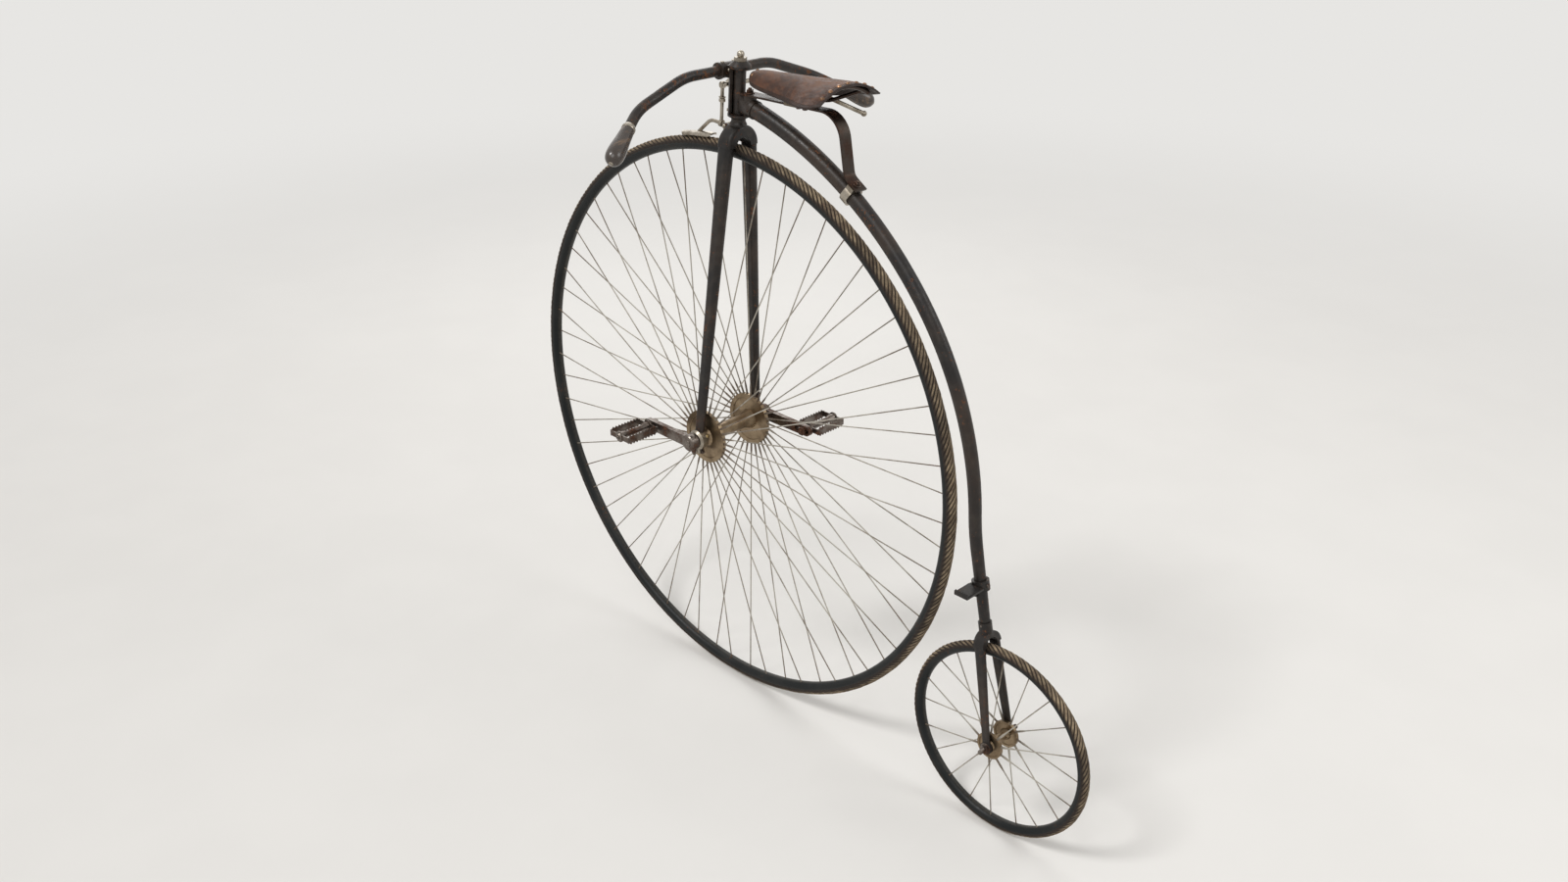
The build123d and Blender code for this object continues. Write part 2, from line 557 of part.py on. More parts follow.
def clamp_ears():
    """Ears below the bearing, for the bolt that closes its split housing."""
    radius = BEARING_DIAMETER / 2
    plane = Plane(origin=(0, BEARING_MIDDLE, 0), x_dir=(1, 0, 0), z_dir=(0, 1, 0))
    outline = Pos(0, radius + (BEARING_EAR_DROP - BEARING_EAR_ROOT) / 2) * RectangleRounded(
        BEARING_EAR_LENGTH, BEARING_EAR_DROP + BEARING_EAR_ROOT, BEARING_EAR_RADIUS)
    ears = extrude(plane * outline, BEARING_EAR_WIDTH / 2, both=True)
    bolt = Plane(
        origin=(0, BEARING_MIDDLE, -radius - BEARING_EAR_DROP / 2), z_dir=(1, 0, 0))
    return ears - bolt * Cylinder(BEARING_BOLT_DIAMETER / 2, 2 * BEARING_EAR_LENGTH)


def oil_cup():
    """Cup with a lid, behind the bearing, that lets oil down to the axle."""
    angle = math.radians(OIL_CUP_ANGLE)
    outward = Vector(-math.cos(angle), 0, math.sin(angle))
    radius = BEARING_DIAMETER / 2
    inside = OIL_CUP_LID
    cup = Plane(
        origin=Vector(0, BEARING_MIDDLE, 0) + outward * (radius - inside), z_dir=outward)
    lid = Plane(
        origin=Vector(0, BEARING_MIDDLE, 0) + outward * (radius + OIL_CUP_HEIGHT - OIL_CUP_LID),
        z_dir=outward)
    upward = (Align.CENTER, Align.CENTER, Align.MIN)
    return (cup * Cylinder(OIL_CUP_DIAMETER / 2, inside + OIL_CUP_HEIGHT - 1, align=upward)
            + lid * Cylinder(OIL_CUP_DIAMETER / 2 + OIL_CUP_LID_EDGE, OIL_CUP_LID, align=upward))


def bearing(side):
    """Split bearing housing at the blade's foot, that the axle turns in."""
    bore = FRONT_AXLE_DIAMETER / 2 + RUNNING_GAP
    radius = BEARING_DIAMETER / 2
    ring = turned([
        (bore, BEARING_START), (radius - BEARING_CHAMFER, BEARING_START),
        (radius, BEARING_START + BEARING_CHAMFER), (radius, BEARING_END - BEARING_CHAMFER),
        (radius - BEARING_CHAMFER, BEARING_END), (bore, BEARING_END)])
    slit = Pos(0, BEARING_MIDDLE, 0) * Box(
        BEARING_SLIT, 2 * BEARING_WIDTH, BEARING_DIAMETER,
        align=(Align.CENTER, Align.CENTER, Align.MAX))
    housing = ring + clamp_ears() + oil_cup() - slit
    return housing if side > 0 else housing.mirror(MIRRORED)


def crown_arch():
    """Fork crown: half ring over the tyre with rounded shoulders."""
    ring = Circle(CROWN_OUTER_RADIUS) - Circle(CROWN_INNER_RADIUS)
    upper = Rectangle(
        4 * CROWN_OUTER_RADIUS, 2 * CROWN_OUTER_RADIUS, align=(Align.CENTER, Align.MIN))
    plane = Plane(origin=(-CROWN_LENGTH / 2, 0, CROWN_CENTRE), x_dir=(0, 1, 0), z_dir=(1, 0, 0))
    arch = extrude(plane * (ring & upper), CROWN_LENGTH)
    shoulders = arch.edges().filter_by(GeomType.CIRCLE).sort_by_distance(
        (0, 0, CROWN_CENTRE + CROWN_OUTER_RADIUS))[:2]
    return fillet(shoulders, CROWN_EDGE_RADIUS)


def open_head():
    """Waisted base, front wall and domed cap, with room between for the neck's spindle."""
    radius = HEAD_DIAMETER / 2
    rim = radius + HEAD_BEAD
    foot = CROWN_CENTRE + CROWN_OUTER_RADIUS
    base = turned_upright([
        (0, foot - 3), (HEAD_FOOT_DIAMETER / 2, foot - 3), (HEAD_FOOT_DIAMETER / 2, foot + 1),
        (HEAD_WAIST_DIAMETER / 2, foot + HEAD_FOOT_HEIGHT),
        (HEAD_WAIST_DIAMETER / 2, HEAD_FLOOR - 2 * HEAD_LIP),
        (rim, HEAD_FLOOR - HEAD_LIP), (rim, HEAD_FLOOR), (0, HEAD_FLOOR)])
    cap = turned_upright([
        (0, HEAD_CEILING), (rim, HEAD_CEILING), (rim, HEAD_CEILING + HEAD_LIP),
        (radius * HEAD_CROWN_SHARE, HEAD_TOP), (0, HEAD_TOP)])
    edge = math.radians(HEAD_WALL_ANGLE)
    reach = 3 * radius
    wedge = make_face(Polyline(
        (0, 0), (reach * math.cos(edge), -reach * math.sin(edge)), (reach, -reach),
        (reach, reach), (reach * math.cos(edge), reach * math.sin(edge)), close=True))
    ring = Circle(radius) - Circle(radius - HEAD_WALL)
    wall = extrude(Plane.XY.offset(HEAD_FLOOR - 2) * (ring & wedge), HEAD_OPENING + 4)
    return base + wall + cap


def bar_lug():
    """Cross tube on the head's front that holds the handlebar, with a ring at each end."""
    radius = BAR_DIAMETER / 2 + BAR_LUG_WALL
    bead = radius + BAR_LUG_BEAD
    end = BAR_LUG_WIDTH / 2
    start = end - BAR_LUG_BEAD_WIDTH
    half = [(radius, 0), (radius, start - BAR_LUG_BEAD), (bead, start), (bead, end), (0, end)]
    lug = turned([(reach, -along) for reach, along in reversed(half[1:])] + half[1:])
    back = (HEAD_DIAMETER - HEAD_WALL) / 2
    bridge = Pos((back + BAR_FORWARD) / 2, 0, BAR_HEIGHT) * Box(
        BAR_FORWARD - back, BAR_LUG_BRIDGE_WIDTH, 2 * radius - 6)
    return Pos(BAR_FORWARD, 0, BAR_HEIGHT) * lug + bridge


def lever_bracket():
    """Plate under the handlebar's lug with the stud that the brake lever turns on."""
    thickness = 7
    low = BAR_HEIGHT - BRAKE_PIVOT_DROP - LEVER_BOSS_RADIUS
    high = BAR_HEIGHT - BAR_DIAMETER / 2 - 1
    middle = BAR_FORWARD + thickness / 2
    plate = Pos(middle, BRAKE_PIVOT_LEFT, low) * Box(
        thickness, 2 * LEVER_BOSS_RADIUS, high - low, align=(Align.CENTER, Align.CENTER, Align.MIN))
    stud_end = BRAKE_PIVOT_FORWARD + BRAKE_ROD_DIAMETER / 2 + 6
    plane = Plane(origin=(middle, BRAKE_PIVOT_LEFT, BAR_HEIGHT - BRAKE_PIVOT_DROP), z_dir=(1, 0, 0))
    return plate + plane * Cylinder(
        BRAKE_STUD_RADIUS, stud_end - middle, align=(Align.CENTER, Align.CENTER, Align.MIN))


def spoon_ears():
    """Two ears on the crown's front that hold the spoon's pivot pin."""
    face = CROWN_LENGTH / 2
    pivot_x = face + SPOON_PIVOT_FORWARD
    pivot_z = FRONT_RADIUS + SPOON_PIVOT_HEIGHT
    ears = pin_across((pivot_x, 0, pivot_z), SPOON_PIN_RADIUS, 2 * BRAKE_ROD_DIAMETER)
    for side in SIDES:
        middle = side * (BRAKE_ROD_DIAMETER / 2 + SEAT_GAP + SPOON_EAR_WIDTH / 2)
        ears += pin_across((pivot_x, middle, pivot_z), SPOON_EAR_RADIUS, SPOON_EAR_WIDTH)
        ears += Pos(face - 2, middle, pivot_z) * Box(
            SPOON_PIVOT_FORWARD + 2, SPOON_EAR_WIDTH, 2 * SPOON_EAR_RADIUS,
            align=(Align.MIN, Align.CENTER, Align.CENTER))
    return ears


def head():
    """Fork crown and open steering head in one forging, bored for the bar and the pivots."""
    bar_hole = pin_across(
        (BAR_FORWARD, 0, BAR_HEIGHT), BAR_DIAMETER / 2 + FIXED_GAP, 2 * BAR_LUG_WIDTH)
    lower_pivot = Pos(0, 0, HEAD_FLOOR) * Cylinder(
        PIVOT_DIAMETER / 2 + RUNNING_GAP, 2 * PIVOT_LENGTH + 2)
    screw_hole = Pos(0, 0, HEAD_TOP) * Cylinder(PIVOT_DIAMETER / 2 + FIXED_GAP, 4 * HEAD_CAP_HEIGHT)
    whole = crown_arch() + open_head() + bar_lug() + lever_bracket() + spoon_ears()
    return RAKED * (whole - bar_hole - lower_pivot - screw_hole)


def head_screw():
    """Centre screw of the head: it goes down into the spindle, with a lock nut on the cap."""
    radius = PIVOT_DIAMETER / 2
    tip = HEAD_CEILING - PIVOT_LENGTH
    top = HEAD_TOP + SCREW_PROUD
    shaft = Pos(0, 0, tip) * Cylinder(radius, top - tip, align=(Align.CENTER, Align.CENTER, Align.MIN))
    nut = extrude(
        Plane.XY.offset(HEAD_TOP + SEAT_GAP) * RegularPolygon(LOCK_NUT_RADIUS, 6), LOCK_NUT_HEIGHT)
    dome = Pos(0, 0, top) * Sphere(radius + 2)
    return RAKED * (shaft + nut + dome)


def neck():
    """Spindle that stands in the head, with an arm back to the backbone."""
    radius = SPINDLE_DIAMETER / 2
    low = HEAD_FLOOR + SPINDLE_PLAY
    high = HEAD_CEILING - SPINDLE_PLAY
    spindle = Pos(0, 0, low) * Cylinder(
        radius, high - low, align=(Align.CENTER, Align.CENTER, Align.MIN))
    spindle += Pos(0, 0, low) * Cylinder(PIVOT_DIAMETER / 2, 2 * (PIVOT_LENGTH - 1))
    spindle -= Pos(0, 0, high) * Cylinder(PIVOT_DIAMETER / 2 + RUNNING_GAP, 2 * (PIVOT_LENGTH + 2))
    spindle = RAKED * spindle
    start = on_arc(FRONT_ARC_CENTRE_X, FRONT_ARC_CENTRE_Z, FRONT_ARC_RADIUS, FRONT_ARC_START)
    angle = math.radians(FRONT_ARC_START)
    rearward = Vector(-math.sin(angle), 0, math.cos(angle))
    end_radius = BACKBONE_FRONT_DIAMETER / 2 + NECK_COLLAR_WALL
    root = RAKED * Location((-4, 0, HEAD_FLOOR + NECK_HEIGHT / 2 + 1))
    arm = loft([
        Plane(origin=root.position, x_dir=(0, 0, 1), z_dir=(-1, 0, 0))
        * SlotOverall(NECK_HEIGHT, NECK_WIDTH),
        Plane(origin=start, x_dir=(rearward.Z, 0, -rearward.X), z_dir=rearward)
        * SlotOverall(2 * end_radius + 0.5, 2 * end_radius)], ruled=True)
    collar = Plane(origin=start, z_dir=rearward) * Cylinder(
        end_radius, NECK_COLLAR_LENGTH, align=(Align.CENTER, Align.CENTER, Align.MIN))
    socket = Plane(origin=start + rearward * NECK_SOCKET_FLOOR, z_dir=rearward) * Cylinder(
        BACKBONE_FRONT_DIAMETER / 2 + FIXED_GAP, NECK_COLLAR_LENGTH,
        align=(Align.CENTER, Align.CENTER, Align.MIN))
    seat = Pos(NECK_END_X + SPRING_SEAT_BEFORE, 0, NECK_END_Z) * Cylinder(
        SPRING_WIDTH / 2 - 1, SPRING_SEAT - NECK_END_Z, align=(Align.CENTER, Align.CENTER, Align.MIN))
    return spindle + arm + collar + seat - socket


for name, side in (("left", 1), ("right", -1)):
    PIECES["fork_blade_" + name] = fork_blade(side)
    PIECES["front_bearing_" + name] = bearing(side)
PIECES["head"] = head()
PIECES["head_screw"] = head_screw()
PIECES["neck"] = neck()


# Backbone and rear fork

def tapered_arc(centre_x, centre_z, radius, start, end, start_diameter, end_diameter):
    """Tube along an arc in the middle plane, with an even taper."""
    first = on_arc(centre_x, centre_z, radius, start)
    last = on_arc(centre_x, centre_z, radius, end)
    middle = on_arc(centre_x, centre_z, radius, (start + end) / 2)
    path = ThreePointArc(first, middle, last)
    sections = [
        Plane(origin=first, z_dir=path % 0) * Circle(start_diameter / 2),
        Plane(origin=last, z_dir=path % 1) * Circle(end_diameter / 2)]
    return sweep(sections, path=path, multisection=True)


def toward_rear_axle(distance):
    """Point on the backbone's straight end, at a distance from the rear axle."""
    start = on_arc(REVERSE_CENTRE_X, REVERSE_CENTRE_Z, REVERSE_ARC_RADIUS, REVERSE_ARC_END)
    axle = Vector(REAR_AXLE_X, 0, REAR_AXLE_Z)
    return axle + (start - axle).normalized() * distance


def backbone():
    """Tapered tube from the neck, round the wheel, to the rear fork's crown."""
    neck_end = FRONT_ARC_START + math.degrees((NECK_SOCKET_FLOOR + 0.2) / FRONT_ARC_RADIUS)
    first = tapered_arc(
        FRONT_ARC_CENTRE_X, FRONT_ARC_CENTRE_Z, FRONT_ARC_RADIUS, neck_end, FRONT_ARC_END,
        BACKBONE_FRONT_DIAMETER, BACKBONE_MIDDLE_DIAMETER)
    second = tapered_arc(
        0, 0, HUG_RADIUS, FRONT_ARC_END, MIDDLE_ARC_END,
        BACKBONE_MIDDLE_DIAMETER, BACKBONE_LOWER_DIAMETER)
    third = tapered_arc(
        REVERSE_CENTRE_X, REVERSE_CENTRE_Z, REVERSE_ARC_RADIUS, MIDDLE_ARC_END - 180,
        REVERSE_ARC_END, BACKBONE_LOWER_DIAMETER, BACKBONE_STRAIGHT_DIAMETER)
    start = on_arc(REVERSE_CENTRE_X, REVERSE_CENTRE_Z, REVERSE_ARC_RADIUS, REVERSE_ARC_END)
    end = toward_rear_axle(REAR_CROWN_TOP)
    fourth = Plane(origin=start, z_dir=(end - start).normalized()) * Cone(
        BACKBONE_STRAIGHT_DIAMETER / 2, BACKBONE_REAR_DIAMETER / 2, STRAIGHT_LENGTH,
        align=(Align.CENTER, Align.CENTER, Align.MIN))
    return first + second + third + fourth


REAR_UP = (toward_rear_axle(REAR_CROWN_TOP) - toward_rear_axle(0)).normalized()
REAR_AHEAD = Vector(REAR_UP.Z, 0, -REAR_UP.X)
REAR_CROWN_INNER = REAR_RIM_HALF_WIDTH + REAR_SIDE_GAP
REAR_CROWN_OUTER = REAR_CROWN_INNER + REAR_BLADE_TOP_WIDTH
REAR_CROWN_CENTRE = REAR_RADIUS + REAR_CROWN_GAP - REAR_CROWN_INNER


def rear_crown():
    """Arch over the rear tyre with a collar for the backbone's end."""
    plane = Plane(
        origin=toward_rear_axle(REAR_CROWN_CENTRE) - REAR_AHEAD * (REAR_CROWN_LENGTH / 2),
        x_dir=(0, 1, 0), z_dir=REAR_AHEAD)
    ring = Circle(REAR_CROWN_OUTER) - Circle(REAR_CROWN_INNER)
    upper = Rectangle(
        4 * REAR_CROWN_OUTER, 2 * REAR_CROWN_OUTER, align=(Align.CENTER, Align.MIN))
    arch = extrude(plane * (ring & upper), REAR_CROWN_LENGTH)
    foot = REAR_CROWN_CENTRE + REAR_CROWN_OUTER - 4
    collar = Plane(origin=toward_rear_axle(foot), z_dir=REAR_UP) * Cylinder(
        BACKBONE_REAR_DIAMETER / 2 + REAR_COLLAR_WALL, REAR_CROWN_TOP + REAR_COLLAR_LENGTH - foot,
        align=(Align.CENTER, Align.CENTER, Align.MIN))
    socket = Plane(origin=toward_rear_axle(REAR_CROWN_TOP), z_dir=REAR_UP) * Cylinder(
        BACKBONE_REAR_DIAMETER / 2 + REAR_SOCKET_GAP, 2 * REAR_COLLAR_LENGTH,
        align=(Align.CENTER, Align.CENTER, Align.MIN))
    return arch + collar - socket


def rear_blade(side):
    """Tapered blade with the eye that holds the rear axle."""
    top_y = side * (REAR_CROWN_INNER + REAR_BLADE_TOP_WIDTH / 2)
    foot_y = side * (REAR_EYE_START + REAR_BLADE_FOOT_WIDTH / 2)
    top = toward_rear_axle(REAR_CROWN_CENTRE - SEAT_GAP) + Vector(0, top_y, 0)
    foot = toward_rear_axle(0) + Vector(0, foot_y, 0)
    blade = loft([
        Plane(origin=foot, x_dir=REAR_AHEAD, z_dir=REAR_UP)
        * SlotOverall(REAR_BLADE_FOOT_LENGTH, REAR_BLADE_FOOT_WIDTH),
        Plane(origin=top, x_dir=REAR_AHEAD, z_dir=REAR_UP)
        * SlotOverall(REAR_CROWN_LENGTH, REAR_BLADE_TOP_WIDTH)], ruled=True)
    eye = pin_across(foot, REAR_EYE_DIAMETER / 2, REAR_BLADE_FOOT_WIDTH)
    bore = pin_across(foot, REAR_AXLE_DIAMETER / 2 + FIXED_GAP, 4 * REAR_BLADE_FOOT_WIDTH)
    return blade + eye - bore


def rear_axle():
    """Fixed axle with a nut outside each eye."""
    nut_start = REAR_EYE_START + REAR_BLADE_FOOT_WIDTH + SEAT_GAP
    end = nut_start + REAR_NUT_HEIGHT + REAR_AXLE_FREE_END
    shaft = Rot(90, 0, 0) * Cylinder(REAR_AXLE_DIAMETER / 2, 2 * end)
    for side in SIDES:
        middle = side * (nut_start + REAR_NUT_HEIGHT / 2)
        nut = Pos(0, middle, 0) * Rot(90, 0, 0) * extrude(
            RegularPolygon(REAR_AXLE_DIAMETER, 6), REAR_NUT_HEIGHT / 2, both=True)
        shaft += nut
    return REAR_AXLE_PLACE * shaft


PIECES["backbone"] = backbone()
PIECES["rear_crown"] = rear_crown()
PIECES["rear_blade_left"] = rear_blade(1)
PIECES["rear_blade_right"] = rear_blade(-1)
PIECES["rear_axle"] = rear_axle()


# Handlebar, grips and brake, drawn with the steering axis upright

def bar_points():
    """Corners of the handlebar's line from the right end to the left end."""
    lug = Vector(BAR_FORWARD, 0, BAR_HEIGHT)
    left = [
        lug + Vector(0, BAR_STRAIGHT, 0),
        lug + Vector(*BAR_BEND),
        lug + Vector(*BAR_END)]
    right = [Vector(point.X, -point.Y, point.Z) for point in reversed(left)]
    return right + left


def handlebar():
    """One bent bar from grip to grip."""
    radii = [BAR_SECOND_RADIUS, BAR_FIRST_RADIUS, BAR_FIRST_RADIUS, BAR_SECOND_RADIUS]
    return RAKED * swept_rod(bar_points(), radii, Circle(BAR_DIAMETER / 2))


def grip(side):
    """Pear-shaped handle over the bar's end."""
    bend = Vector(BAR_FORWARD + BAR_BEND[0], BAR_BEND[1], BAR_HEIGHT + BAR_BEND[2])
    end = Vector(BAR_FORWARD + BAR_END[0], BAR_END[1], BAR_HEIGHT + BAR_END[2])
    along = (end - bend).normalized()
    start = end - along * (GRIP_LENGTH - GRIP_END_WALL)
    bore = BAR_DIAMETER / 2 + FIXED_GAP
    neck_radius = GRIP_NECK_DIAMETER / 2
    belly = GRIP_BELLY_DIAMETER / 2
    side_line = Spline(
        (neck_radius, 0), ((neck_radius + belly) / 2, GRIP_LENGTH * 0.36),
        (belly, GRIP_LENGTH * 0.7), (belly * 0.72, GRIP_LENGTH * 0.93), (0, GRIP_LENGTH),
        tangents=((0.1, 1), (-1, 0)))
    inside = Polyline(
        (0, GRIP_LENGTH), (0, GRIP_LENGTH - GRIP_END_WALL + SEAT_GAP),
        (bore, GRIP_LENGTH - GRIP_END_WALL + SEAT_GAP), (bore, 0), (neck_radius, 0))
    pear = revolve(Plane.XZ * make_face(side_line + inside), Axis.Z)
    handle = RAKED * (Plane(origin=start, z_dir=along) * pear)
    return handle if side > 0 else handle.mirror(MIRRORED)


def brake_lever():
    """Lever from the stud under the lug to below the right grip."""
    lug = Vector(BAR_FORWARD, 0, BAR_HEIGHT)
    radius = BRAKE_ROD_DIAMETER / 2
    pivot = Vector(BRAKE_PIVOT_FORWARD, BRAKE_PIVOT_LEFT, BAR_HEIGHT - BRAKE_PIVOT_DROP)
    points = [
        pivot + Vector(0, -BRAKE_PIVOT_LEFT + radius, 0), pivot,
        lug + Vector(*LEVER_BEND) - Vector(BAR_FORWARD, 0, 0),
        lug + Vector(*LEVER_SECOND_BEND) - Vector(BAR_FORWARD, 0, 0),
        lug + Vector(*LEVER_END) - Vector(BAR_FORWARD, 0, 0)]
    lever = swept_rod(points, LEVER_RADII, Circle(radius))
    boss_plane = Plane(origin=pivot, z_dir=(1, 0, 0))
    lever += boss_plane * Cylinder(LEVER_BOSS_RADIUS, BRAKE_ROD_DIAMETER + 1)
    lever -= boss_plane * Cylinder(BRAKE_STUD_RADIUS + FIXED_GAP, 4 * BRAKE_ROD_DIAMETER)
    tip = (points[-1] - points[-2]).normalized()
    lever += Plane(origin=points[-1], z_dir=tip) * Sphere(LEVER_KNOB_RADIUS)
    return RAKED * lever


def push_rod():
    """Rod that carries the lever's push down to the spoon's arm."""
    radius = BRAKE_ROD_DIAMETER / 2
    top = Vector(BRAKE_PIVOT_FORWARD, 0, BAR_HEIGHT - BRAKE_PIVOT_DROP - radius - SEAT_GAP)
    foot_z = FRONT_RADIUS + SPOON_PIVOT_HEIGHT + radius + SEAT_GAP
    return RAKED * (Pos(top.X, 0, foot_z) * Cylinder(
        radius - 1, top.Z - foot_z, align=(Align.CENTER, Align.CENTER, Align.MIN)))


def spoon_shoe():
    """Shoe round the tyre's tread: cupped across, curved along it, with round ends."""
    inside = FRONT_RADIUS + SPOON_TYRE_GAP
    half = SPOON_WIDTH / 2
    edge = SPOON_THICKNESS / 2
    section = make_face(
        ThreePointArc((inside - SPOON_CUP, -half), (inside, 0), (inside - SPOON_CUP, half))
        + Line((inside - SPOON_CUP, half), (inside - SPOON_CUP + edge, half))
        + ThreePointArc(
            (inside - SPOON_CUP + edge, half), (inside + SPOON_THICKNESS, 0),
            (inside - SPOON_CUP + edge, -half))
        + Line((inside - SPOON_CUP + edge, -half), (inside - SPOON_CUP, -half)))
    band = revolve(Rot(0, -SPOON_START_ANGLE, 0) * section, Axis.Y, SPOON_LENGTH_ANGLE)
    middle = on_arc(0, 0, inside, SPOON_START_ANGLE - SPOON_LENGTH_ANGLE / 2)
    plan = Plane(origin=middle, x_dir=(0, 1, 0), z_dir=middle.normalized())
    length = inside * math.radians(SPOON_LENGTH_ANGLE) - 2
    outline = plan * Rot(0, 0, 90) * RectangleRounded(length, SPOON_WIDTH - 1, SPOON_WIDTH / 2 - 1)
    return band & extrude(outline, 2 * SPOON_WIDTH, both=True)


def brake_spoon():
    """Cupped shoe over the tyre, on an arm hinged at the crown."""
    pivot = Vector(CROWN_LENGTH / 2 + SPOON_PIVOT_FORWARD, 0, FRONT_RADIUS + SPOON_PIVOT_HEIGHT)
    shoe_top = FRONT_RADIUS + SPOON_TYRE_GAP + SPOON_THICKNESS / 2
    arm_end = on_arc(0, 0, shoe_top, SPOON_START_ANGLE - SPOON_LENGTH_ANGLE / 2)
    bend = pivot + Vector(SPOON_ARM_REACH, 0, 0)
    arm = swept_rod([pivot, bend, arm_end], [SPOON_ARM_RADIUS], Circle(BRAKE_ROD_DIAMETER / 2 - 1))
    arm -= Pos(*arm_end) * Cylinder(
        SPOON_WIDTH, 2 * SPOON_TYRE_GAP, align=(Align.CENTER, Align.CENTER, Align.MAX))
    eye = pin_across(pivot, SPOON_EAR_RADIUS, BRAKE_ROD_DIAMETER)
    bore = pin_across(pivot, SPOON_PIN_RADIUS + FIXED_GAP, 4 * BRAKE_ROD_DIAMETER)
    return RAKED * (spoon_shoe() + arm + eye - bore)


PIECES["handlebar"] = handlebar()
PIECES["grip_left"] = grip(1)
PIECES["grip_right"] = grip(-1)
PIECES["brake_lever"] = brake_lever()
PIECES["brake_push_rod"] = push_rod()
PIECES["brake_spoon"] = brake_spoon()


# Saddle and its spring

def saddle_spring():
    """Flat steel spring: level under the saddle, then down in a bend to the backbone."""
    level = SPRING_TOP - SPRING_THICKNESS / 2
    tail_radius = (FRONT_ARC_RADIUS + BACKBONE_FRONT_DIAMETER / 2 + CLIP_HEIGHT
                   + SPRING_THICKNESS / 2)
    tail = on_arc(FRONT_ARC_CENTRE_X, FRONT_ARC_CENTRE_Z, tail_radius, SPRING_END_ANGLE)
    angle = math.radians(SPRING_END_ANGLE)
    rearward = Vector(-math.sin(angle), 0, math.cos(angle))
    points = [
        Vector(NECK_END_X + SPRING_SEAT_BEFORE + SPRING_WIDTH / 2 - 1, 0, level),
        Vector(SADDLE_MIDDLE - SPRING_REAR_BEND, 0, level),
        tail - rearward * SPRING_TAIL_AHEAD,
        tail + rearward * SPRING_TAIL_BEHIND]
    radii = [SPRING_REAR_RADIUS, SPRING_TAIL_RADIUS]
    return swept_rod(points, radii, Rectangle(SPRING_THICKNESS, SPRING_WIDTH))


def spring_clip():
    """Sliding clip round the backbone, under the spring's tail."""
    centre = on_arc(FRONT_ARC_CENTRE_X, FRONT_ARC_CENTRE_Z, FRONT_ARC_RADIUS, SPRING_END_ANGLE)
    angle = math.radians(SPRING_END_ANGLE)
    rearward = Vector(-math.sin(angle), 0, math.cos(angle))
    plane = Plane(origin=centre - rearward * (CLIP_LENGTH / 2), x_dir=(0, -1, 0), z_dir=rearward)
    share = (SPRING_END_ANGLE - FRONT_ARC_START) / (FRONT_ARC_END - FRONT_ARC_START)
    tube = BACKBONE_FRONT_DIAMETER - share * (BACKBONE_FRONT_DIAMETER - BACKBONE_MIDDLE_DIAMETER)
    top = BACKBONE_FRONT_DIAMETER / 2 + CLIP_HEIGHT - SEAT_GAP
    block = Pos(0, top) * Rectangle(SPRING_WIDTH + 4, top, align=(Align.CENTER, Align.MAX))
    ring = Circle(BACKBONE_FRONT_DIAMETER / 2 + CLIP_WALL) + block - Circle(tube / 2 + CLIP_GAP)
    return extrude(plane * ring, CLIP_LENGTH)


# Sections of the leather: ahead of the saddle's middle, half width, how far its ridge
# lies below the highest point, how far its edges hang below the ridge.
LEATHER_SECTIONS = [
    (138.0, 14.0, 11.0, 16.0),
    (129.0, 21.0, 8.0, 27.0),
    (108.0, 27.0, 5.0, 34.0),
    (62.0, 33.0, 3.0, 41.0),
    (16.0, 44.0, 1.4, 44.0),
    (-30.0, 64.0, 0.0, 44.0),
    (-72.0, 88.0, -1.4, 41.0),
    (-CANTLE_BACK, 97.0, -2.0, 37.0),
    (-132.0, 88.0, -0.6, 30.0),
]


def saddle_section(ahead, half_width, below_top, drop):
    """Arched band across the saddle, like a strip of the leather."""
    top = SADDLE_TOP - below_top
    inner_width = half_width - LEATHER_THICKNESS
    plane = Plane(origin=(SADDLE_MIDDLE + ahead, 0, top), x_dir=(0, -1, 0), z_dir=(-1, 0, 0))
    outer = ThreePointArc((-half_width, -drop), (0, 0), (half_width, -drop))
    inner = ThreePointArc((inner_width, -drop), (0, -LEATHER_THICKNESS), (-inner_width, -drop))
    edges = Line((half_width, -drop), (inner_width, -drop)) + Line(
        (-inner_width, -drop), (-half_width, -drop))
    return plane * make_face(outer + inner + edges)


def saddle_leather():
    """Leather top in one curved shell."""
    return loft([saddle_section(*row) for row in LEATHER_SECTIONS], ruled=True)


def under_leather(ahead, side, inset=0.0):
    """Height of the arch under the leather, or of one that runs a distance inside it."""
    for front, behind in zip(LEATHER_SECTIONS, LEATHER_SECTIONS[1:]):
        if behind[0] <= ahead <= front[0]:
            share = (front[0] - ahead) / (front[0] - behind[0])
            half_width, below_top, drop = [
                a + share * (b - a) for a, b in zip(front[1:], behind[1:])]
    span = half_width - LEATHER_THICKNESS
    rise = drop - LEATHER_THICKNESS
    radius = (span ** 2 + rise ** 2) / (2 * rise)
    centre = SADDLE_TOP - below_top - LEATHER_THICKNESS - radius
    return centre + math.sqrt((radius - inset) ** 2 - side ** 2)


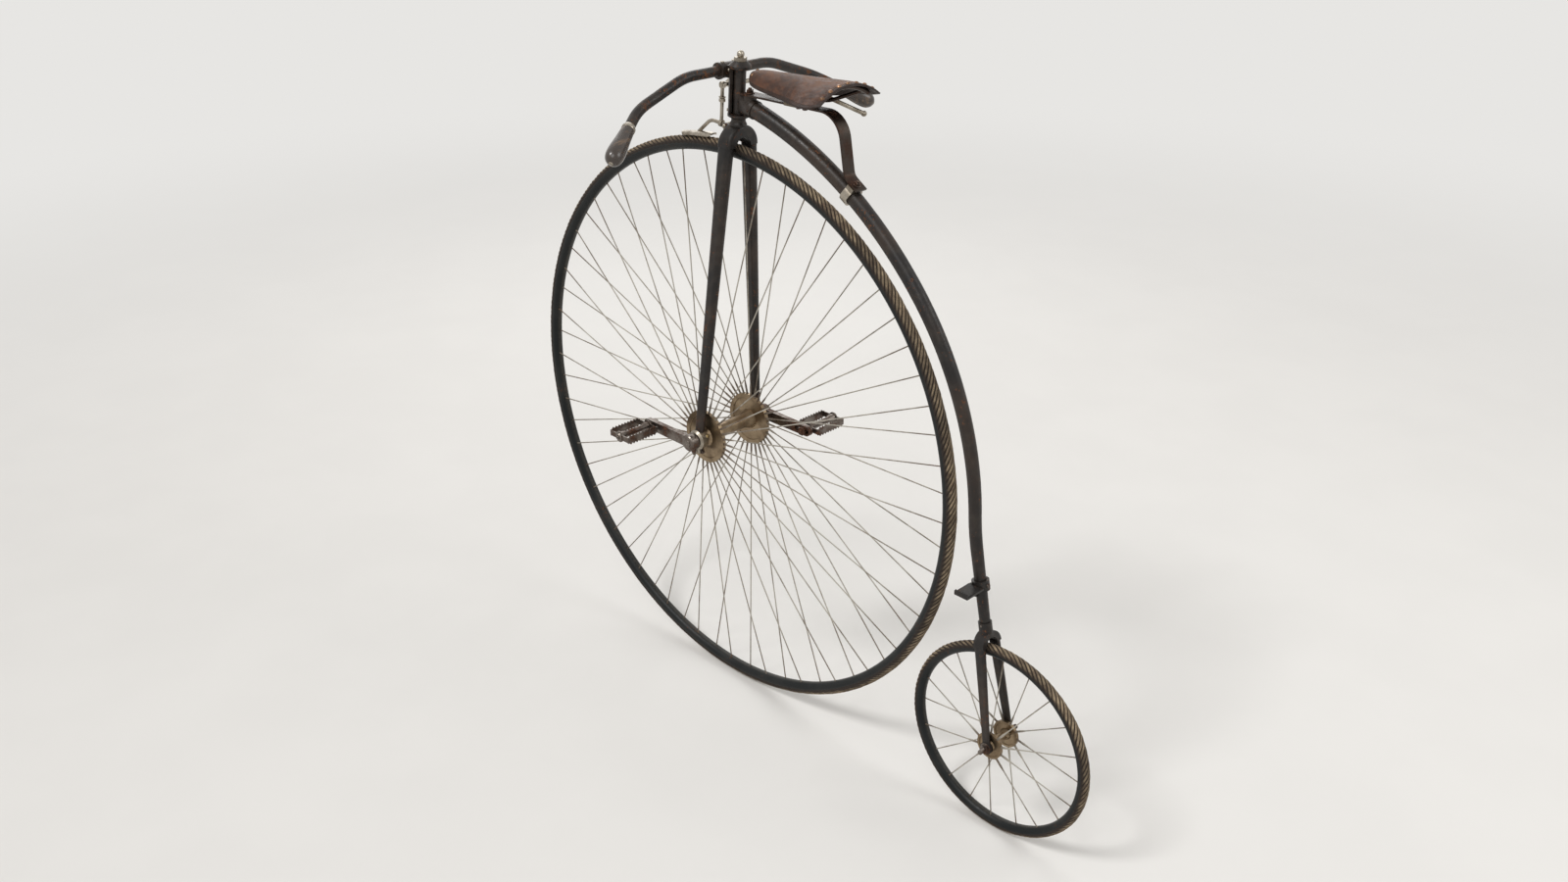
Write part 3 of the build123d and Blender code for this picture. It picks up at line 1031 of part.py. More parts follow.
def saddle_frame():
    """Nose block, two rails and the bent bar under the leather's wide end."""
    rail_z = SPRING_TOP + RAIL_HEIGHT
    cantle_x = SADDLE_MIDDLE - CANTLE_BACK
    inset = CANTLE_DIAMETER / 2 + SEAT_GAP
    nose_top = min(
        under_leather(NOSE_AHEAD + reach, NOSE_WIDTH / 2)
        for reach in (NOSE_LENGTH / 2, -NOSE_LENGTH / 2)) - SEAT_GAP
    nose = Pos(SADDLE_MIDDLE + NOSE_AHEAD, 0, nose_top) * Box(
        NOSE_LENGTH, NOSE_WIDTH, NOSE_HEIGHT, align=(Align.CENTER, Align.CENTER, Align.MAX))
    bow = ThreePointArc(*[
        (cantle_x, side, under_leather(-CANTLE_BACK, side, inset))
        for side in (-CANTLE_HALF_WIDTH, 0, CANTLE_HALF_WIDTH)])
    frame = nose + sweep(Plane(origin=bow @ 0, z_dir=bow % 0) * Circle(CANTLE_DIAMETER / 2), path=bow)
    rail_end = under_leather(-CANTLE_BACK, RAIL_REAR_SIDE, inset)
    for side in SIDES:
        points = [
            (SADDLE_MIDDLE + NOSE_AHEAD, side * NOSE_WIDTH * 0.3, nose_top - NOSE_HEIGHT / 2),
            (SADDLE_MIDDLE + RAIL_LEVEL_HALF, side * RAIL_SPACING / 2, rail_z),
            (SADDLE_MIDDLE - RAIL_LEVEL_HALF, side * RAIL_SPACING / 2, rail_z),
            (cantle_x, side * RAIL_REAR_SIDE, rail_end)]
        frame += swept_rod(points, RAIL_RADII, Circle(RAIL_DIAMETER / 2))
    return frame


def saddle_block():
    """Clamp that holds the rails on the spring."""
    rail_z = SPRING_TOP + RAIL_HEIGHT
    low = SPRING_TOP + SEAT_GAP
    block = Pos(SADDLE_MIDDLE, 0, low) * Box(
        SADDLE_BLOCK_LENGTH, RAIL_SPACING + 2 * SADDLE_BLOCK_SIDE, 2 * (RAIL_HEIGHT - SEAT_GAP),
        align=(Align.CENTER, Align.CENTER, Align.MIN))
    for side in SIDES:
        block -= Pos(SADDLE_MIDDLE, side * RAIL_SPACING / 2, rail_z) * Rot(0, 90, 0) * Cylinder(
            RAIL_DIAMETER / 2 + FIXED_GAP, 2 * SADDLE_BLOCK_LENGTH)
    return block


def above_rear_crown(distance):
    """Point, direction up the tube and diameter of the backbone over the rear crown."""
    if distance <= STRAIGHT_LENGTH:
        share = distance / STRAIGHT_LENGTH
        diameter = BACKBONE_REAR_DIAMETER + share * (
            BACKBONE_STRAIGHT_DIAMETER - BACKBONE_REAR_DIAMETER)
        return toward_rear_axle(REAR_CROWN_TOP + distance), REAR_UP, diameter
    turn = math.degrees((distance - STRAIGHT_LENGTH) / REVERSE_ARC_RADIUS)
    centre = on_arc(REVERSE_CENTRE_X, REVERSE_CENTRE_Z, REVERSE_ARC_RADIUS, REVERSE_ARC_END + turn)
    return centre, REAR_UP.rotate(Axis.Y, -turn), BACKBONE_LOWER_DIAMETER


def step():
    """Mounting step on the left of the backbone: clamp ring, plate, brace and toothed lip."""
    centre, up, diameter = above_rear_crown(STEP_BEFORE_CROWN + STEP_CLAMP_LENGTH / 2)
    tube = diameter / 2
    centre = centre - up * (STEP_CLAMP_LENGTH / 2)
    ring_radius = tube + STEP_CLAMP_WALL
    ring = Plane(origin=centre, z_dir=up) * Cylinder(ring_radius, STEP_CLAMP_LENGTH)
    bore = Plane(origin=centre, z_dir=up) * Cylinder(tube + STEP_CLAMP_GAP, 4 * STEP_CLAMP_LENGTH)
    lip_start = STEP_REACH - STEP_LIP_THICKNESS
    plate = Pos(centre.X, tube, centre.Z) * Box(
        STEP_LENGTH, lip_start + 1 - tube, STEP_THICKNESS,
        align=(Align.CENTER, Align.MIN, Align.CENTER))
    pad_start = ring_radius + STEP_PAD_GAP
    pad = Pos(centre.X, pad_start, centre.Z) * Box(
        STEP_LENGTH - 2, lip_start - STEP_PAD_GAP - pad_start, STEP_THICKNESS / 2 + STEP_PAD_HEIGHT,
        align=(Align.CENTER, Align.MIN, Align.MIN))
    brace = make_face(Polyline(
        (tube, 0), (lip_start - STEP_BRACE_WIDTH, 0), (tube, -STEP_BRACE_DEPTH), close=True))
    brace = extrude(
        Plane.YZ.offset(centre.X - STEP_BRACE_WIDTH / 2) * Pos(0, centre.Z) * brace, STEP_BRACE_WIDTH)
    half = STEP_LENGTH / 2
    valley = STEP_THICKNESS / 2 + STEP_TOOTH_DEPTH
    lip = make_face(Polyline(
        *saw_teeth(-half, half, STEP_TEETH, valley, valley + STEP_TOOTH_DEPTH),
        (half, -STEP_THICKNESS / 2), (-half, -STEP_THICKNESS / 2), close=True))
    lip = extrude(
        Plane.XZ.offset(-STEP_REACH) * Pos(centre.X, centre.Z) * lip, STEP_LIP_THICKNESS)
    return ring + plate + pad + brace + lip - bore


PIECES["saddle_spring"] = saddle_spring()
PIECES["spring_clip"] = spring_clip()
PIECES["saddle_leather"] = saddle_leather()
PIECES["saddle_frame"] = saddle_frame()
PIECES["saddle_block"] = saddle_block()
PIECES["step"] = step()

os.makedirs("parts", exist_ok=True)
to_rider = Pos(-RIDER_POINT[0], -RIDER_POINT[1], -RIDER_POINT[2])
for name, piece in PIECES.items():
    export_step(to_rider * piece, "parts/" + name + ".step")
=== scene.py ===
import json
import math
import random
from itertools import product

import bmesh
import bpy
from bpy.props import FloatProperty, FloatVectorProperty, IntProperty, PointerProperty
from mathutils import Matrix, Vector


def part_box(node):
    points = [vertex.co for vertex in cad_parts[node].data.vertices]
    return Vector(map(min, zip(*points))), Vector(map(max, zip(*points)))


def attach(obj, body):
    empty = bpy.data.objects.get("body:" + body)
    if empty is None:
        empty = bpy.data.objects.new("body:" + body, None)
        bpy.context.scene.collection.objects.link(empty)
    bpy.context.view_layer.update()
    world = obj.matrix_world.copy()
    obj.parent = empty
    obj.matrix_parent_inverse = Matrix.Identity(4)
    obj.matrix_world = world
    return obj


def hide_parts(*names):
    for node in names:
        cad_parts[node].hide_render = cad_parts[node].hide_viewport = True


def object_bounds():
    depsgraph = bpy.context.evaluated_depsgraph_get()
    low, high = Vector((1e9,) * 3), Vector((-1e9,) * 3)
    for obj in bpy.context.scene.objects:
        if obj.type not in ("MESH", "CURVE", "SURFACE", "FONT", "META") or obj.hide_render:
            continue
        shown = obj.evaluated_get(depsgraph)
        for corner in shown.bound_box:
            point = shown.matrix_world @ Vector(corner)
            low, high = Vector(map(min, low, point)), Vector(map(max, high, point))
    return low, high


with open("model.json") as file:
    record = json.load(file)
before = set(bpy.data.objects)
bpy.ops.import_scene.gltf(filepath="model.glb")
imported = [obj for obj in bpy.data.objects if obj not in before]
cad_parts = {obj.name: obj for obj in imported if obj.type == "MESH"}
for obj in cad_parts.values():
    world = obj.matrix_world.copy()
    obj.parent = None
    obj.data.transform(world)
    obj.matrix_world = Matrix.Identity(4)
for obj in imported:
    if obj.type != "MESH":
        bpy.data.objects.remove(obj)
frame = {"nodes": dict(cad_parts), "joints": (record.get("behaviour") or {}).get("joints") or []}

bl_info = {
    "name": "High-wheel bicycle",
    "version": (1, 0, 0),
    "blender": (4, 5, 0),
    "location": "3D View > Sidebar > High wheel",
    "description": "Dresses the frame of a high-wheel bicycle and lights it for a picture",
    "category": "Object",
}

NODES = frame["nodes"]
CAD_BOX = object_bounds()
MM = 0.001


# Places taken from the frame

def middle(node):
    """Middle of a node's box."""
    low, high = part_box(node)
    return (low + high) / 2


def half_size(node):
    """Half of a node's box along each axis."""
    low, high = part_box(node)
    return (high - low) / 2


WHEELS = ("front", "rear")
SIDES = (1, -1)           # left, right
FORWARD, LEFT, UP, DOWN = (1, 0, 0), (0, 1, 0), (0, 0, 1), (0, 0, -1)
FRONT_AXLE = middle("front_tyre")
REAR_AXLE = middle("rear_tyre")
FLOOR_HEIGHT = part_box("front_tyre")[0].z
STEERING_AXIS = Vector(next(j["axis"] for j in frame["joints"] if j["name"] == "steering"))
SADDLE_MIDDLE_X = middle("saddle_block").x
# Fittings are placed in these frames. All start on the front axle, the steering one has Z
# along its own axis, and each crank's one has Y away from the wheel.
AXLE = Matrix.Translation(FRONT_AXLE)
STEERING = AXLE @ Vector(UP).rotation_difference(STEERING_AXIS).to_matrix().to_4x4()
CRANKS = {"left": AXLE, "right": AXLE @ Matrix.Rotation(math.pi, 4, "Z")}


# Sizes and colours that a user may change

def decimal(name, default, description, **more):
    """A plain number, or one with the unit or the subtype that is given."""
    return FloatProperty(name=name, default=default, description=description, **more)


def length(name, default, description):
    """A length in metres, given in millimetres."""
    return decimal(name, default * MM, description, unit="LENGTH", precision=4)


def angle(name, default, description):
    """An angle in radians, given in degrees."""
    return decimal(name, math.radians(default), description, subtype="ANGLE")


def whole(name, default, description):
    """A whole number."""
    return IntProperty(name=name, default=default, description=description)


def colour(name, default, description):
    """A linear colour."""
    return FloatVectorProperty(
        name=name, default=default, description=description, subtype="COLOR", size=3, min=0, max=1)


class HighWheelTyreSettings(bpy.types.PropertyGroup):
    """Solid rubber tyres with laid ribs, and the rims that hold them."""
    rib_pitch: length("Rib pitch", 14.5, "From one rib of the tread to the next")
    rib_depth: length("Rib depth", 2.8, "From a rib's crest to the bottom of the groove")
    rib_lean: decimal("Rib lean", 1.6, "Run along the tyre for each step across it")
    front_lap: length("Front lap", 4.5, "How far the front tyre's rubber laps down beside its rim")
    rear_lap: length("Rear lap", 3.5, "How far the rear tyre's rubber laps down beside its rim")
    lap_thickness: length("Lap thickness", 1.2, "Of the rubber beside the rim")
    front_rim_depth: length("Front rim depth", 20, "From the lip to the rim's floor")
    rear_rim_depth: length("Rear rim depth", 16, "From the lip to the rim's floor")
    rim_wall: length("Rim wall", 2, "Thickness of the rim's steel")


class HighWheelSpokeSettings(bpy.types.PropertyGroup):
    """Direct spokes of both wheels."""
    front_count: whole("Front spokes", 64, "Spokes of the front wheel")
    front_spacing: length("Front flange spacing", 140, "Between the front hub's flanges")
    front_wire: length("Front wire", 2.8, "Diameter of a front spoke")
    rear_count: whole("Rear spokes", 20, "Spokes of the rear wheel")
    rear_spacing: length("Rear flange spacing", 56, "Between the rear hub's flanges")
    rear_wire: length("Rear wire", 2.6, "Diameter of a rear spoke")
    rim_offset: length("Offset at the rim", 3, "From the rim's middle plane to a spoke's end")
    butt: length("Butt", 4.6, "Diameter of a spoke's thick end at the hub")
    butt_length: length("Butt length", 22, "Length of a spoke's thick end")


class HighWheelSaddleSettings(bpy.types.PropertyGroup):
    """Leather saddle top."""
    thickness: length("Leather thickness", 5, "Of the hide")
    rivet: length("Rivet", 9, "Diameter of a rivet's head")
    cantle_rivets: whole("Cantle rivets", 7, "Rivets along the wide end")


class HighWheelFinishSettings(bpy.types.PropertyGroup):
    """Colours of the finishes."""
    enamel: colour("Enamel", (0.0115, 0.0100, 0.0095), "Frame and fork enamel")
    enamel_faded: colour("Faded enamel", (0.033, 0.022, 0.016), "Enamel that has gone brown")
    rim: colour("Rim", (0.0058, 0.0075, 0.0080), "Rim enamel")
    rim_faded: colour("Faded rim", (0.0145, 0.0155, 0.0150), "Rim enamel where it is rubbed")
    rust: colour("Rust", (0.17, 0.066, 0.026), "Light rust")
    rust_dark: colour("Dark rust", (0.045, 0.021, 0.013), "Old rust")
    nickel: colour("Nickel", (0.40, 0.36, 0.30), "Nickel plate")
    nickel_dull: colour("Dull nickel", (0.16, 0.13, 0.095), "Tarnished nickel plate")
    steel: colour("Steel", (0.20, 0.175, 0.155), "Bare steel")
    gunmetal: colour("Gunmetal", (0.30, 0.225, 0.145), "Hub metal")
    wire: colour("Wire", (0.45, 0.42, 0.365), "Spoke wire")
    wire_dull: colour("Dull wire", (0.19, 0.158, 0.125), "Tarnished spoke wire")
    # Tan of the tread's crests: partly the colour of wear, partly painted light.
    tread_worn: colour("Worn tread", (0.39, 0.30, 0.195), "Crests of the tread")
    tread_dull: colour("Dull tread", (0.15, 0.098, 0.064), "Patches where dirt sits on the tread")
    # Dark rubber of the grooves and the sides, partly painted shade.
    tread_deep: colour("Tread grooves", (0.024, 0.017, 0.0135), "Grooves and sides of the tread")
    leather: colour("Leather", (0.125, 0.050, 0.024), "Saddle leather")
    # Lighter leather of the top: partly rubbed wear, partly a painted sheen.
    leather_worn_and_sheen: colour("Worn leather and sheen", (0.23, 0.115, 0.060), "Leather where it is rubbed")
    leather_dark: colour("Dark leather", (0.040, 0.017, 0.010), "Creases and edges of the leather")
    horn: colour("Horn", (0.030, 0.019, 0.013), "Dark horn of the grips")
    horn_streak: colour("Horn streak", (0.21, 0.125, 0.065), "Pale streaks in the horn")


class HighWheelStageSettings(bpy.types.PropertyGroup):
    """Floor, lamps and camera."""
    floor: colour("Floor", (0.80, 0.785, 0.76), "Floor colour")
    backdrop: colour("Backdrop", (0.80, 0.79, 0.77), "What the camera sees beyond the floor")
    ambient: decimal("Ambient", 0.47, "Strength of the even light")
    key: decimal("Key", 1.2, "Strength of the main light")
    key_angle: angle("Key angle", 14, "Width of the main light, for soft shadows")
    fill: decimal("Fill", 34.0, "Power of each lamp", unit="POWER")
    azimuth: angle("Azimuth", 225, "Camera's place round the object")
    elevation: angle("Elevation", 26, "Camera's height over the object")
    distance: length("Distance", 3150, "From the camera to its target")
    target_drop: length("Target drop", 70, "From the object's middle down to the camera's target")
    lens: decimal("Lens", 31.8, "Focal length on a 36 mm sensor")


GROUPS = {
    "highwheel_tyres": HighWheelTyreSettings,
    "highwheel_spokes": HighWheelSpokeSettings,
    "highwheel_saddle": HighWheelSaddleSettings,
    "highwheel_finish": HighWheelFinishSettings,
    "highwheel_stage": HighWheelStageSettings,
}


# Finishes

DUST = (0.09, 0.075, 0.060)
RUBBED_EDGE = (0.085, 0.074, 0.060)
LEATHER_EDGE = (0.022, 0.010, 0.007)
LEATHER_LINE = (0.018, 0.009, 0.006)
TOOLED_LINE = 8.5         # millimetres from the leather's edge


class Graph:
    """Shader nodes in the making."""

    def __init__(self, tree):
        self.tree = tree

    def node(self, kind, sockets=None, **settings):
        made = self.tree.nodes.new("ShaderNode" + kind)
        for name, value in settings.items():
            setattr(made, name, value)
        for name, value in (sockets or {}).items():
            self.feed(made.inputs[name], value)
        return made

    def feed(self, socket, value):
        """Link a socket to another one, or give it a value or a colour."""
        if isinstance(value, bpy.types.NodeSocket):
            self.tree.links.new(value, socket)
        elif socket.type == "RGBA":
            socket.default_value = (*value, 1)
        else:
            socket.default_value = value

    def math(self, operation, first, second):
        return self.node("Math", {0: first, 1: second}, operation=operation,
                         use_clamp=operation in ("ADD", "SUBTRACT")).outputs[0]

    def seen_directly(self):
        """1 for rays of the camera, of reflections and of glass, 0 for the light itself."""
        rays = self.node("LightPath").outputs
        found = self.math("MAXIMUM", rays["Is Camera Ray"], rays["Is Glossy Ray"])
        return self.math("MAXIMUM", found, rays["Is Transmission Ray"])


class Finish(Graph):
    """A material in the making, placed by the piece's own coordinates."""

    def __init__(self, name, base, sockets=None):
        self.material = bpy.data.materials.new(name)
        self.material.use_nodes = True
        super().__init__(self.material.node_tree)
        self.shader = self.tree.nodes["Principled BSDF"]
        for socket, value in (sockets or {}).items():
            self.shader.inputs[socket].default_value = value
        self.place = self.node("TexCoord").outputs["Object"]
        self.base = base
        self.relief = {}

    def stretched(self, x, y, z):
        """Coordinates scaled by axis, for streaks."""
        return self.node("Mapping", {"Vector": self.place, "Scale": (x, y, z)}).outputs["Vector"]

    def noise(self, scale, detail, roughness, place=None, distortion=0.0):
        return self.node("TexNoise", {
            "Vector": place or self.place, "Scale": scale, "Detail": detail,
            "Roughness": roughness, "Distortion": distortion}).outputs["Fac"]

    def wandering(self, reach, scale):
        """Coordinates pushed about by a noise, so that lines in them aren't straight."""
        push = self.node("TexNoise", {"Vector": self.place, "Scale": scale, "Detail": 4.0})
        return self.node("VectorMath", {
            0: push.outputs["Color"], 1: (reach,) * 3, 2: self.place},
            operation="MULTIPLY_ADD").outputs["Vector"]

    def along_strand(self, across, along):
        """Coordinates that change fast across a strand of the mesh and slowly along it."""
        strand = self.node("CombineXYZ", {"X": self.math("MULTIPLY", self.mark("strand"), across)})
        return self.node("VectorMath", {
            0: strand.outputs["Vector"], 1: self.stretched(along, along, along)},
            operation="ADD").outputs["Vector"]

    def cells(self, scale, place=None):
        """Distance to the border between two cells."""
        return self.node("TexVoronoi", {"Vector": place or self.place, "Scale": scale},
                         feature="DISTANCE_TO_EDGE").outputs["Distance"]

    def mark(self, name="mark"):
        """Value that the mesh holds at each vertex."""
        return self.node("Attribute", attribute_name=name).outputs["Fac"]

    def between(self, value, low, high, to_low=0.0, to_high=1.0):
        """Value from low to high, brought smoothly to another range."""
        return self.node("MapRange", {
            "Value": value, "From Min": low, "From Max": high, "To Min": to_low,
            "To Max": to_high}, interpolation_type="SMOOTHSTEP").outputs["Result"]

    def inverse(self, value):
        return self.math("SUBTRACT", 1.0, value)

    def weighted(self, share, first, second):
        """Mean of two values, with the first one's share."""
        return self.math("ADD", self.math("MULTIPLY", first, share),
                         self.math("MULTIPLY", second, 1 - share))

    def mix(self, share, first, second):
        """Colour between two others."""
        return self.node("Mix", {0: share, 6: first, 7: second}, data_type="RGBA").outputs[2]

    def cover(self, share, colour):
        """Lay a colour over the base where the share is high."""
        self.base = self.mix(share, self.base, colour)

    def tint(self, value, low, high, colour, to_low=0.0, to_high=1.0):
        """Cover the base by a value that is brought to another range."""
        self.cover(self.between(value, low, high, to_low, to_high), colour)

    def rusted(self, share, colours):
        """Cover the base with mottled rust."""
        mottled = self.between(self.noise(420, 5, 0.7), 0.35, 0.68)
        self.cover(share, self.mix(mottled, colours.rust_dark, colours.rust))

    def raise_by(self, height, depth):
        """Relief of a height from 0 to 1, with its depth in metres."""
        self.relief = {"Normal": self.node("Bump", {
            "Height": height, "Strength": 1.0, "Distance": depth, **self.relief}).outputs["Normal"]}

    def done(self, **sockets):
        """Join the base, the relief and the given sockets to the shader."""
        for name, value in {"Base Color": self.base, **sockets, **self.relief}.items():
            self.feed(self.shader.inputs[name], value)
        return self.material


def enamel(name, colours, chipped):
    """Old enamel gone brown in patches, with rust at its chips."""
    finish = Finish(name, colours.enamel, {"Specular IOR Level": 0.32})
    scuffs = finish.noise(38.0, 8, 0.72)
    specks = finish.noise(210.0, 6, 0.65)
    chips = finish.between(finish.weighted(0.62, scuffs, specks), 0.60 - chipped, 0.64 - chipped)
    finish.tint(finish.noise(7.0, 6, 0.6), 0.38, 0.68, colours.enamel_faded)
    finish.rusted(chips, colours)
    finish.tint(finish.noise(55.0, 3, 0.5), 0.40, 0.75, DUST, 0.0, 0.16)
    finish.raise_by(finish.inverse(chips), 0.12 * MM)
    finish.raise_by(specks, 0.05 * MM)
    gloss = finish.between(specks, 0.3, 0.75, 0.30, 0.54)
    rough = finish.node("Mix", {0: chips, 2: gloss, 3: 0.86}, data_type="FLOAT")
    return finish.done(Roughness=rough.outputs[0])


def plated(name, bright, dull, pitted, colours):
    """Metal that has tarnished, with rust in its pits."""
    finish = Finish(name, bright)
    clouds = finish.noise(22.0, 7, 0.66)
    pits = finish.noise(260.0, 6, 0.7)
    rusty = finish.between(finish.weighted(0.45, clouds, pits), 0.60 - pitted, 0.655 - pitted)
    finish.tint(clouds, 0.36, 0.66, dull)
    finish.rusted(rusty, colours)
    finish.raise_by(finish.noise(900.0, 2, 0.5, finish.stretched(1, 1, 0.08)), 0.02 * MM)
    finish.raise_by(finish.inverse(rusty), 0.06 * MM)
    smooth = finish.between(clouds, 0.3, 0.7, 0.26, 0.46)
    return finish.done(
        Metallic=finish.between(rusty, 0.0, 1.0, 0.95, 0.15),
        Roughness=finish.math("ADD", smooth, finish.math("MULTIPLY", rusty, 0.4)))


def rim_enamel(colours):
    """Near-black satin enamel, rubbed grey along the rim's edges."""
    finish = Finish("rim_enamel", colours.rim, {"Specular IOR Level": 0.22})
    patches = finish.noise(9.0, 6, 0.62)
    specks = finish.noise(240.0, 6, 0.68)
    edge = finish.math("MULTIPLY", finish.mark(), finish.between(specks, 0.30, 0.62))
    chips = finish.between(finish.weighted(0.5, patches, specks), 0.60, 0.64)
    finish.tint(patches, 0.40, 0.68, colours.rim_faded)
    finish.cover(finish.math("MULTIPLY", edge, 0.55), RUBBED_EDGE)
    finish.rusted(chips, colours)
    finish.raise_by(finish.inverse(chips), 0.1 * MM)
    gloss = finish.between(specks, 0.3, 0.7, 0.34, 0.52)
    return finish.done(Roughness=finish.math("ADD", gloss, finish.math("MULTIPLY", chips, 0.35)))


def tread_rubber(colours):
    """Aged rubber: tan on the ribs' crests, partly wear and partly painted light, and dark in the
    grooves and on the sides, partly painted shade.
    """
    finish = Finish("tread_rubber", colours.tread_deep, {"Specular IOR Level": 0.3})
    grain = finish.noise(520.0, 6, 0.7)
    patches = finish.noise(7.0, 6, 0.62)
    smears = finish.noise(42.0, 6, 0.66)
    fibres = finish.noise(900.0, 3, 0.6, finish.along_strand(0.012, 0.09))
    # Tan over the crests is partly wear and partly painted light; the dark grooves between them are
    # partly painted shade.
    worn_and_lit = finish.math("ADD", finish.mark(), finish.between(grain, 0.2, 0.8, -0.2, 0.2))
    worn_and_lit = finish.math("MULTIPLY", worn_and_lit, finish.between(patches, 0.32, 0.64, 0.62, 1.0))
    top = finish.mix(
        finish.between(smears, 0.46, 0.66, 0.0, 0.8), colours.tread_worn, colours.tread_dull)
    finish.tint(worn_and_lit, 0.12, 0.85, top)
    finish.tint(fibres, 0.46, 0.62, colours.tread_deep, 0.5, 0.0)
    finish.raise_by(finish.mark("strand"), 1.1 * MM)
    finish.raise_by(fibres, 0.35 * MM)
    finish.raise_by(grain, 0.12 * MM)
    return finish.done(Roughness=finish.between(grain, 0.3, 0.7, 0.72, 0.9))


def spoke_wire(colours):
    """Dull tinned wire, rusted towards both ends."""
    finish = Finish("spoke_wire", colours.wire)
    spots = finish.noise(480.0, 4, 0.6)
    ends = finish.math("MULTIPLY", finish.mark(), 0.24)
    tarnish = finish.math("ADD", finish.noise(17.0, 6, 0.7), ends)
    rusty = finish.between(finish.weighted(0.45, tarnish, spots), 0.61, 0.68)
    finish.tint(tarnish, 0.42, 0.74, colours.wire_dull)
    finish.rusted(finish.math("MULTIPLY", rusty, 0.8), colours)
    finish.raise_by(spots, 0.03 * MM)
    return finish.done(
        Metallic=finish.between(rusty, 0.0, 1.0, 0.8, 0.15),
        Roughness=finish.between(rusty, 0.0, 1.0, 0.42, 0.8))


def saddle_hide(colours):
    """Old saddle leather: grain, creases, dark edges with a tooled line, and a lighter top that is
    partly rubbed wear and partly a painted sheen.
    """
    finish = Finish("saddle_hide", colours.leather_dark, {"Specular IOR Level": 0.4})
    edge = finish.mark("edge")
    scuffed = finish.noise(75.0, 8, 0.75, finish.stretched(0.45, 1.0, 1.0))
    # Lighter along the middle of the top: partly rubbed wear, partly a painted sheen.
    rubbed = finish.math("MULTIPLY", finish.between(finish.mark("top"), 0.05, 0.9),
                         finish.between(scuffed, 0.46, 0.60))
    from_line = finish.math("ABSOLUTE", finish.math("SUBTRACT", edge, TOOLED_LINE * MM), 0.0)
    tooled = finish.between(from_line, 0.0, 1.1 * MM)
    creases = finish.between(finish.cells(150.0, finish.wandering(0.012, 70.0)), 0.0, 0.07)
    creased = finish.between(finish.noise(24.0, 4, 0.6), 0.40, 0.66)
    creases = finish.math("MAXIMUM", creases, finish.inverse(creased))
    finish.tint(finish.noise(21.0, 8, 0.72, distortion=0.3), 0.36, 0.66, colours.leather)
    finish.cover(finish.math("MULTIPLY", rubbed, 0.55), colours.leather_worn_and_sheen)
    finish.tint(edge, 0.0, 6 * MM, LEATHER_EDGE, 0.85, 0.0)
    finish.tint(tooled, 0.0, 1.0, LEATHER_LINE, 0.75, 0.0)
    finish.tint(creases, 0.0, 1.0, colours.leather_dark, 0.4, 0.0)
    finish.raise_by(tooled, 0.5 * MM)
    finish.raise_by(creases, 0.14 * MM)
    finish.raise_by(finish.between(finish.cells(900.0), 0.0, 0.22), 0.08 * MM)
    finish.raise_by(finish.noise(120.0, 4, 0.6), 0.3 * MM)
    return finish.done(Roughness=finish.between(scuffed, 0.35, 0.65, 0.46, 0.72))


def dark_horn(colours):
    """Polished dark horn with pale streaks along the grip."""
    finish = Finish("dark_horn", colours.horn, {"Coat Weight": 0.5, "Coat Roughness": 0.16})
    streaks = finish.noise(190.0, 6, 0.6, finish.stretched(1.0, 0.16, 0.35), 0.5)
    finish.tint(streaks, 0.50, 0.78, colours.horn_streak)
    nicks = finish.noise(260.0, 5, 0.6)
    finish.raise_by(nicks, 0.04 * MM)
    return finish.done(Roughness=finish.between(nicks, 0.3, 0.7, 0.24, 0.42))


def all_finishes(colours):
    """Every finish by its name."""
    made = {
        "enamel": enamel("worn_enamel", colours, 0.035),
        "bar_enamel": enamel("bar_enamel", colours, 0.06),
        "rim": rim_enamel(colours),
        "tread": tread_rubber(colours),
        "wire": spoke_wire(colours),
        "leather": saddle_hide(colours),
        "horn": dark_horn(colours),
    }
    # Metals: bright colour, dull colour, how much they are pitted.
    for name, material, *look in (
            ("nickel", "tarnished_nickel", colours.nickel, colours.nickel_dull, 0.01),
            ("steel", "rusted_steel", colours.steel, colours.rust_dark, 0.075),
            ("spring", "spring_steel", (0.06, 0.05, 0.043), colours.rust_dark, 0.04),
            ("gunmetal", "dull_gunmetal", colours.gunmetal, (0.15, 0.105, 0.062), -0.02),
            ("copper", "rivet_copper", (0.34, 0.19, 0.11), (0.13, 0.075, 0.045), -0.03),
            ("brass", "oiler_brass", (0.34, 0.25, 0.11), (0.14, 0.095, 0.05), -0.03)):
        made[name] = plated(material, *look, colours)
    return made


NODE_FINISHES = {
    "enamel": [
        "backbone", "neck", "rear_crown", "rear_blade_left", "rear_blade_right", "head",
        "fork_blade_left", "fork_blade_right", "step"],
    "bar_enamel": ["handlebar"],
    "rim": ["front_rim", "rear_rim"],
    "tread": ["front_tyre", "rear_tyre"],
    "wire": ["front_spokes", "rear_spokes"],
    "nickel": [
        "head_screw", "front_bearing_left", "front_bearing_right", "brake_lever",
        "brake_push_rod", "brake_spoon", "spring_clip", "saddle_block"],
    "steel": [
        "front_axle", "rear_axle", "crank_left", "crank_right", "pedal_pin_left",
        "pedal_pin_right", "pedal_cage_left", "pedal_cage_right", "pedal_barrel_left",
        "pedal_barrel_right"],
    "spring": ["saddle_spring", "saddle_frame"],
    "gunmetal": ["front_hub", "rear_hub"],
    "leather": ["saddle_leather"],
    "horn": ["grip_left", "grip_right"],
}

SEAM_ANGLE = math.radians(25)     # normals less than this apart belong to one smooth surface


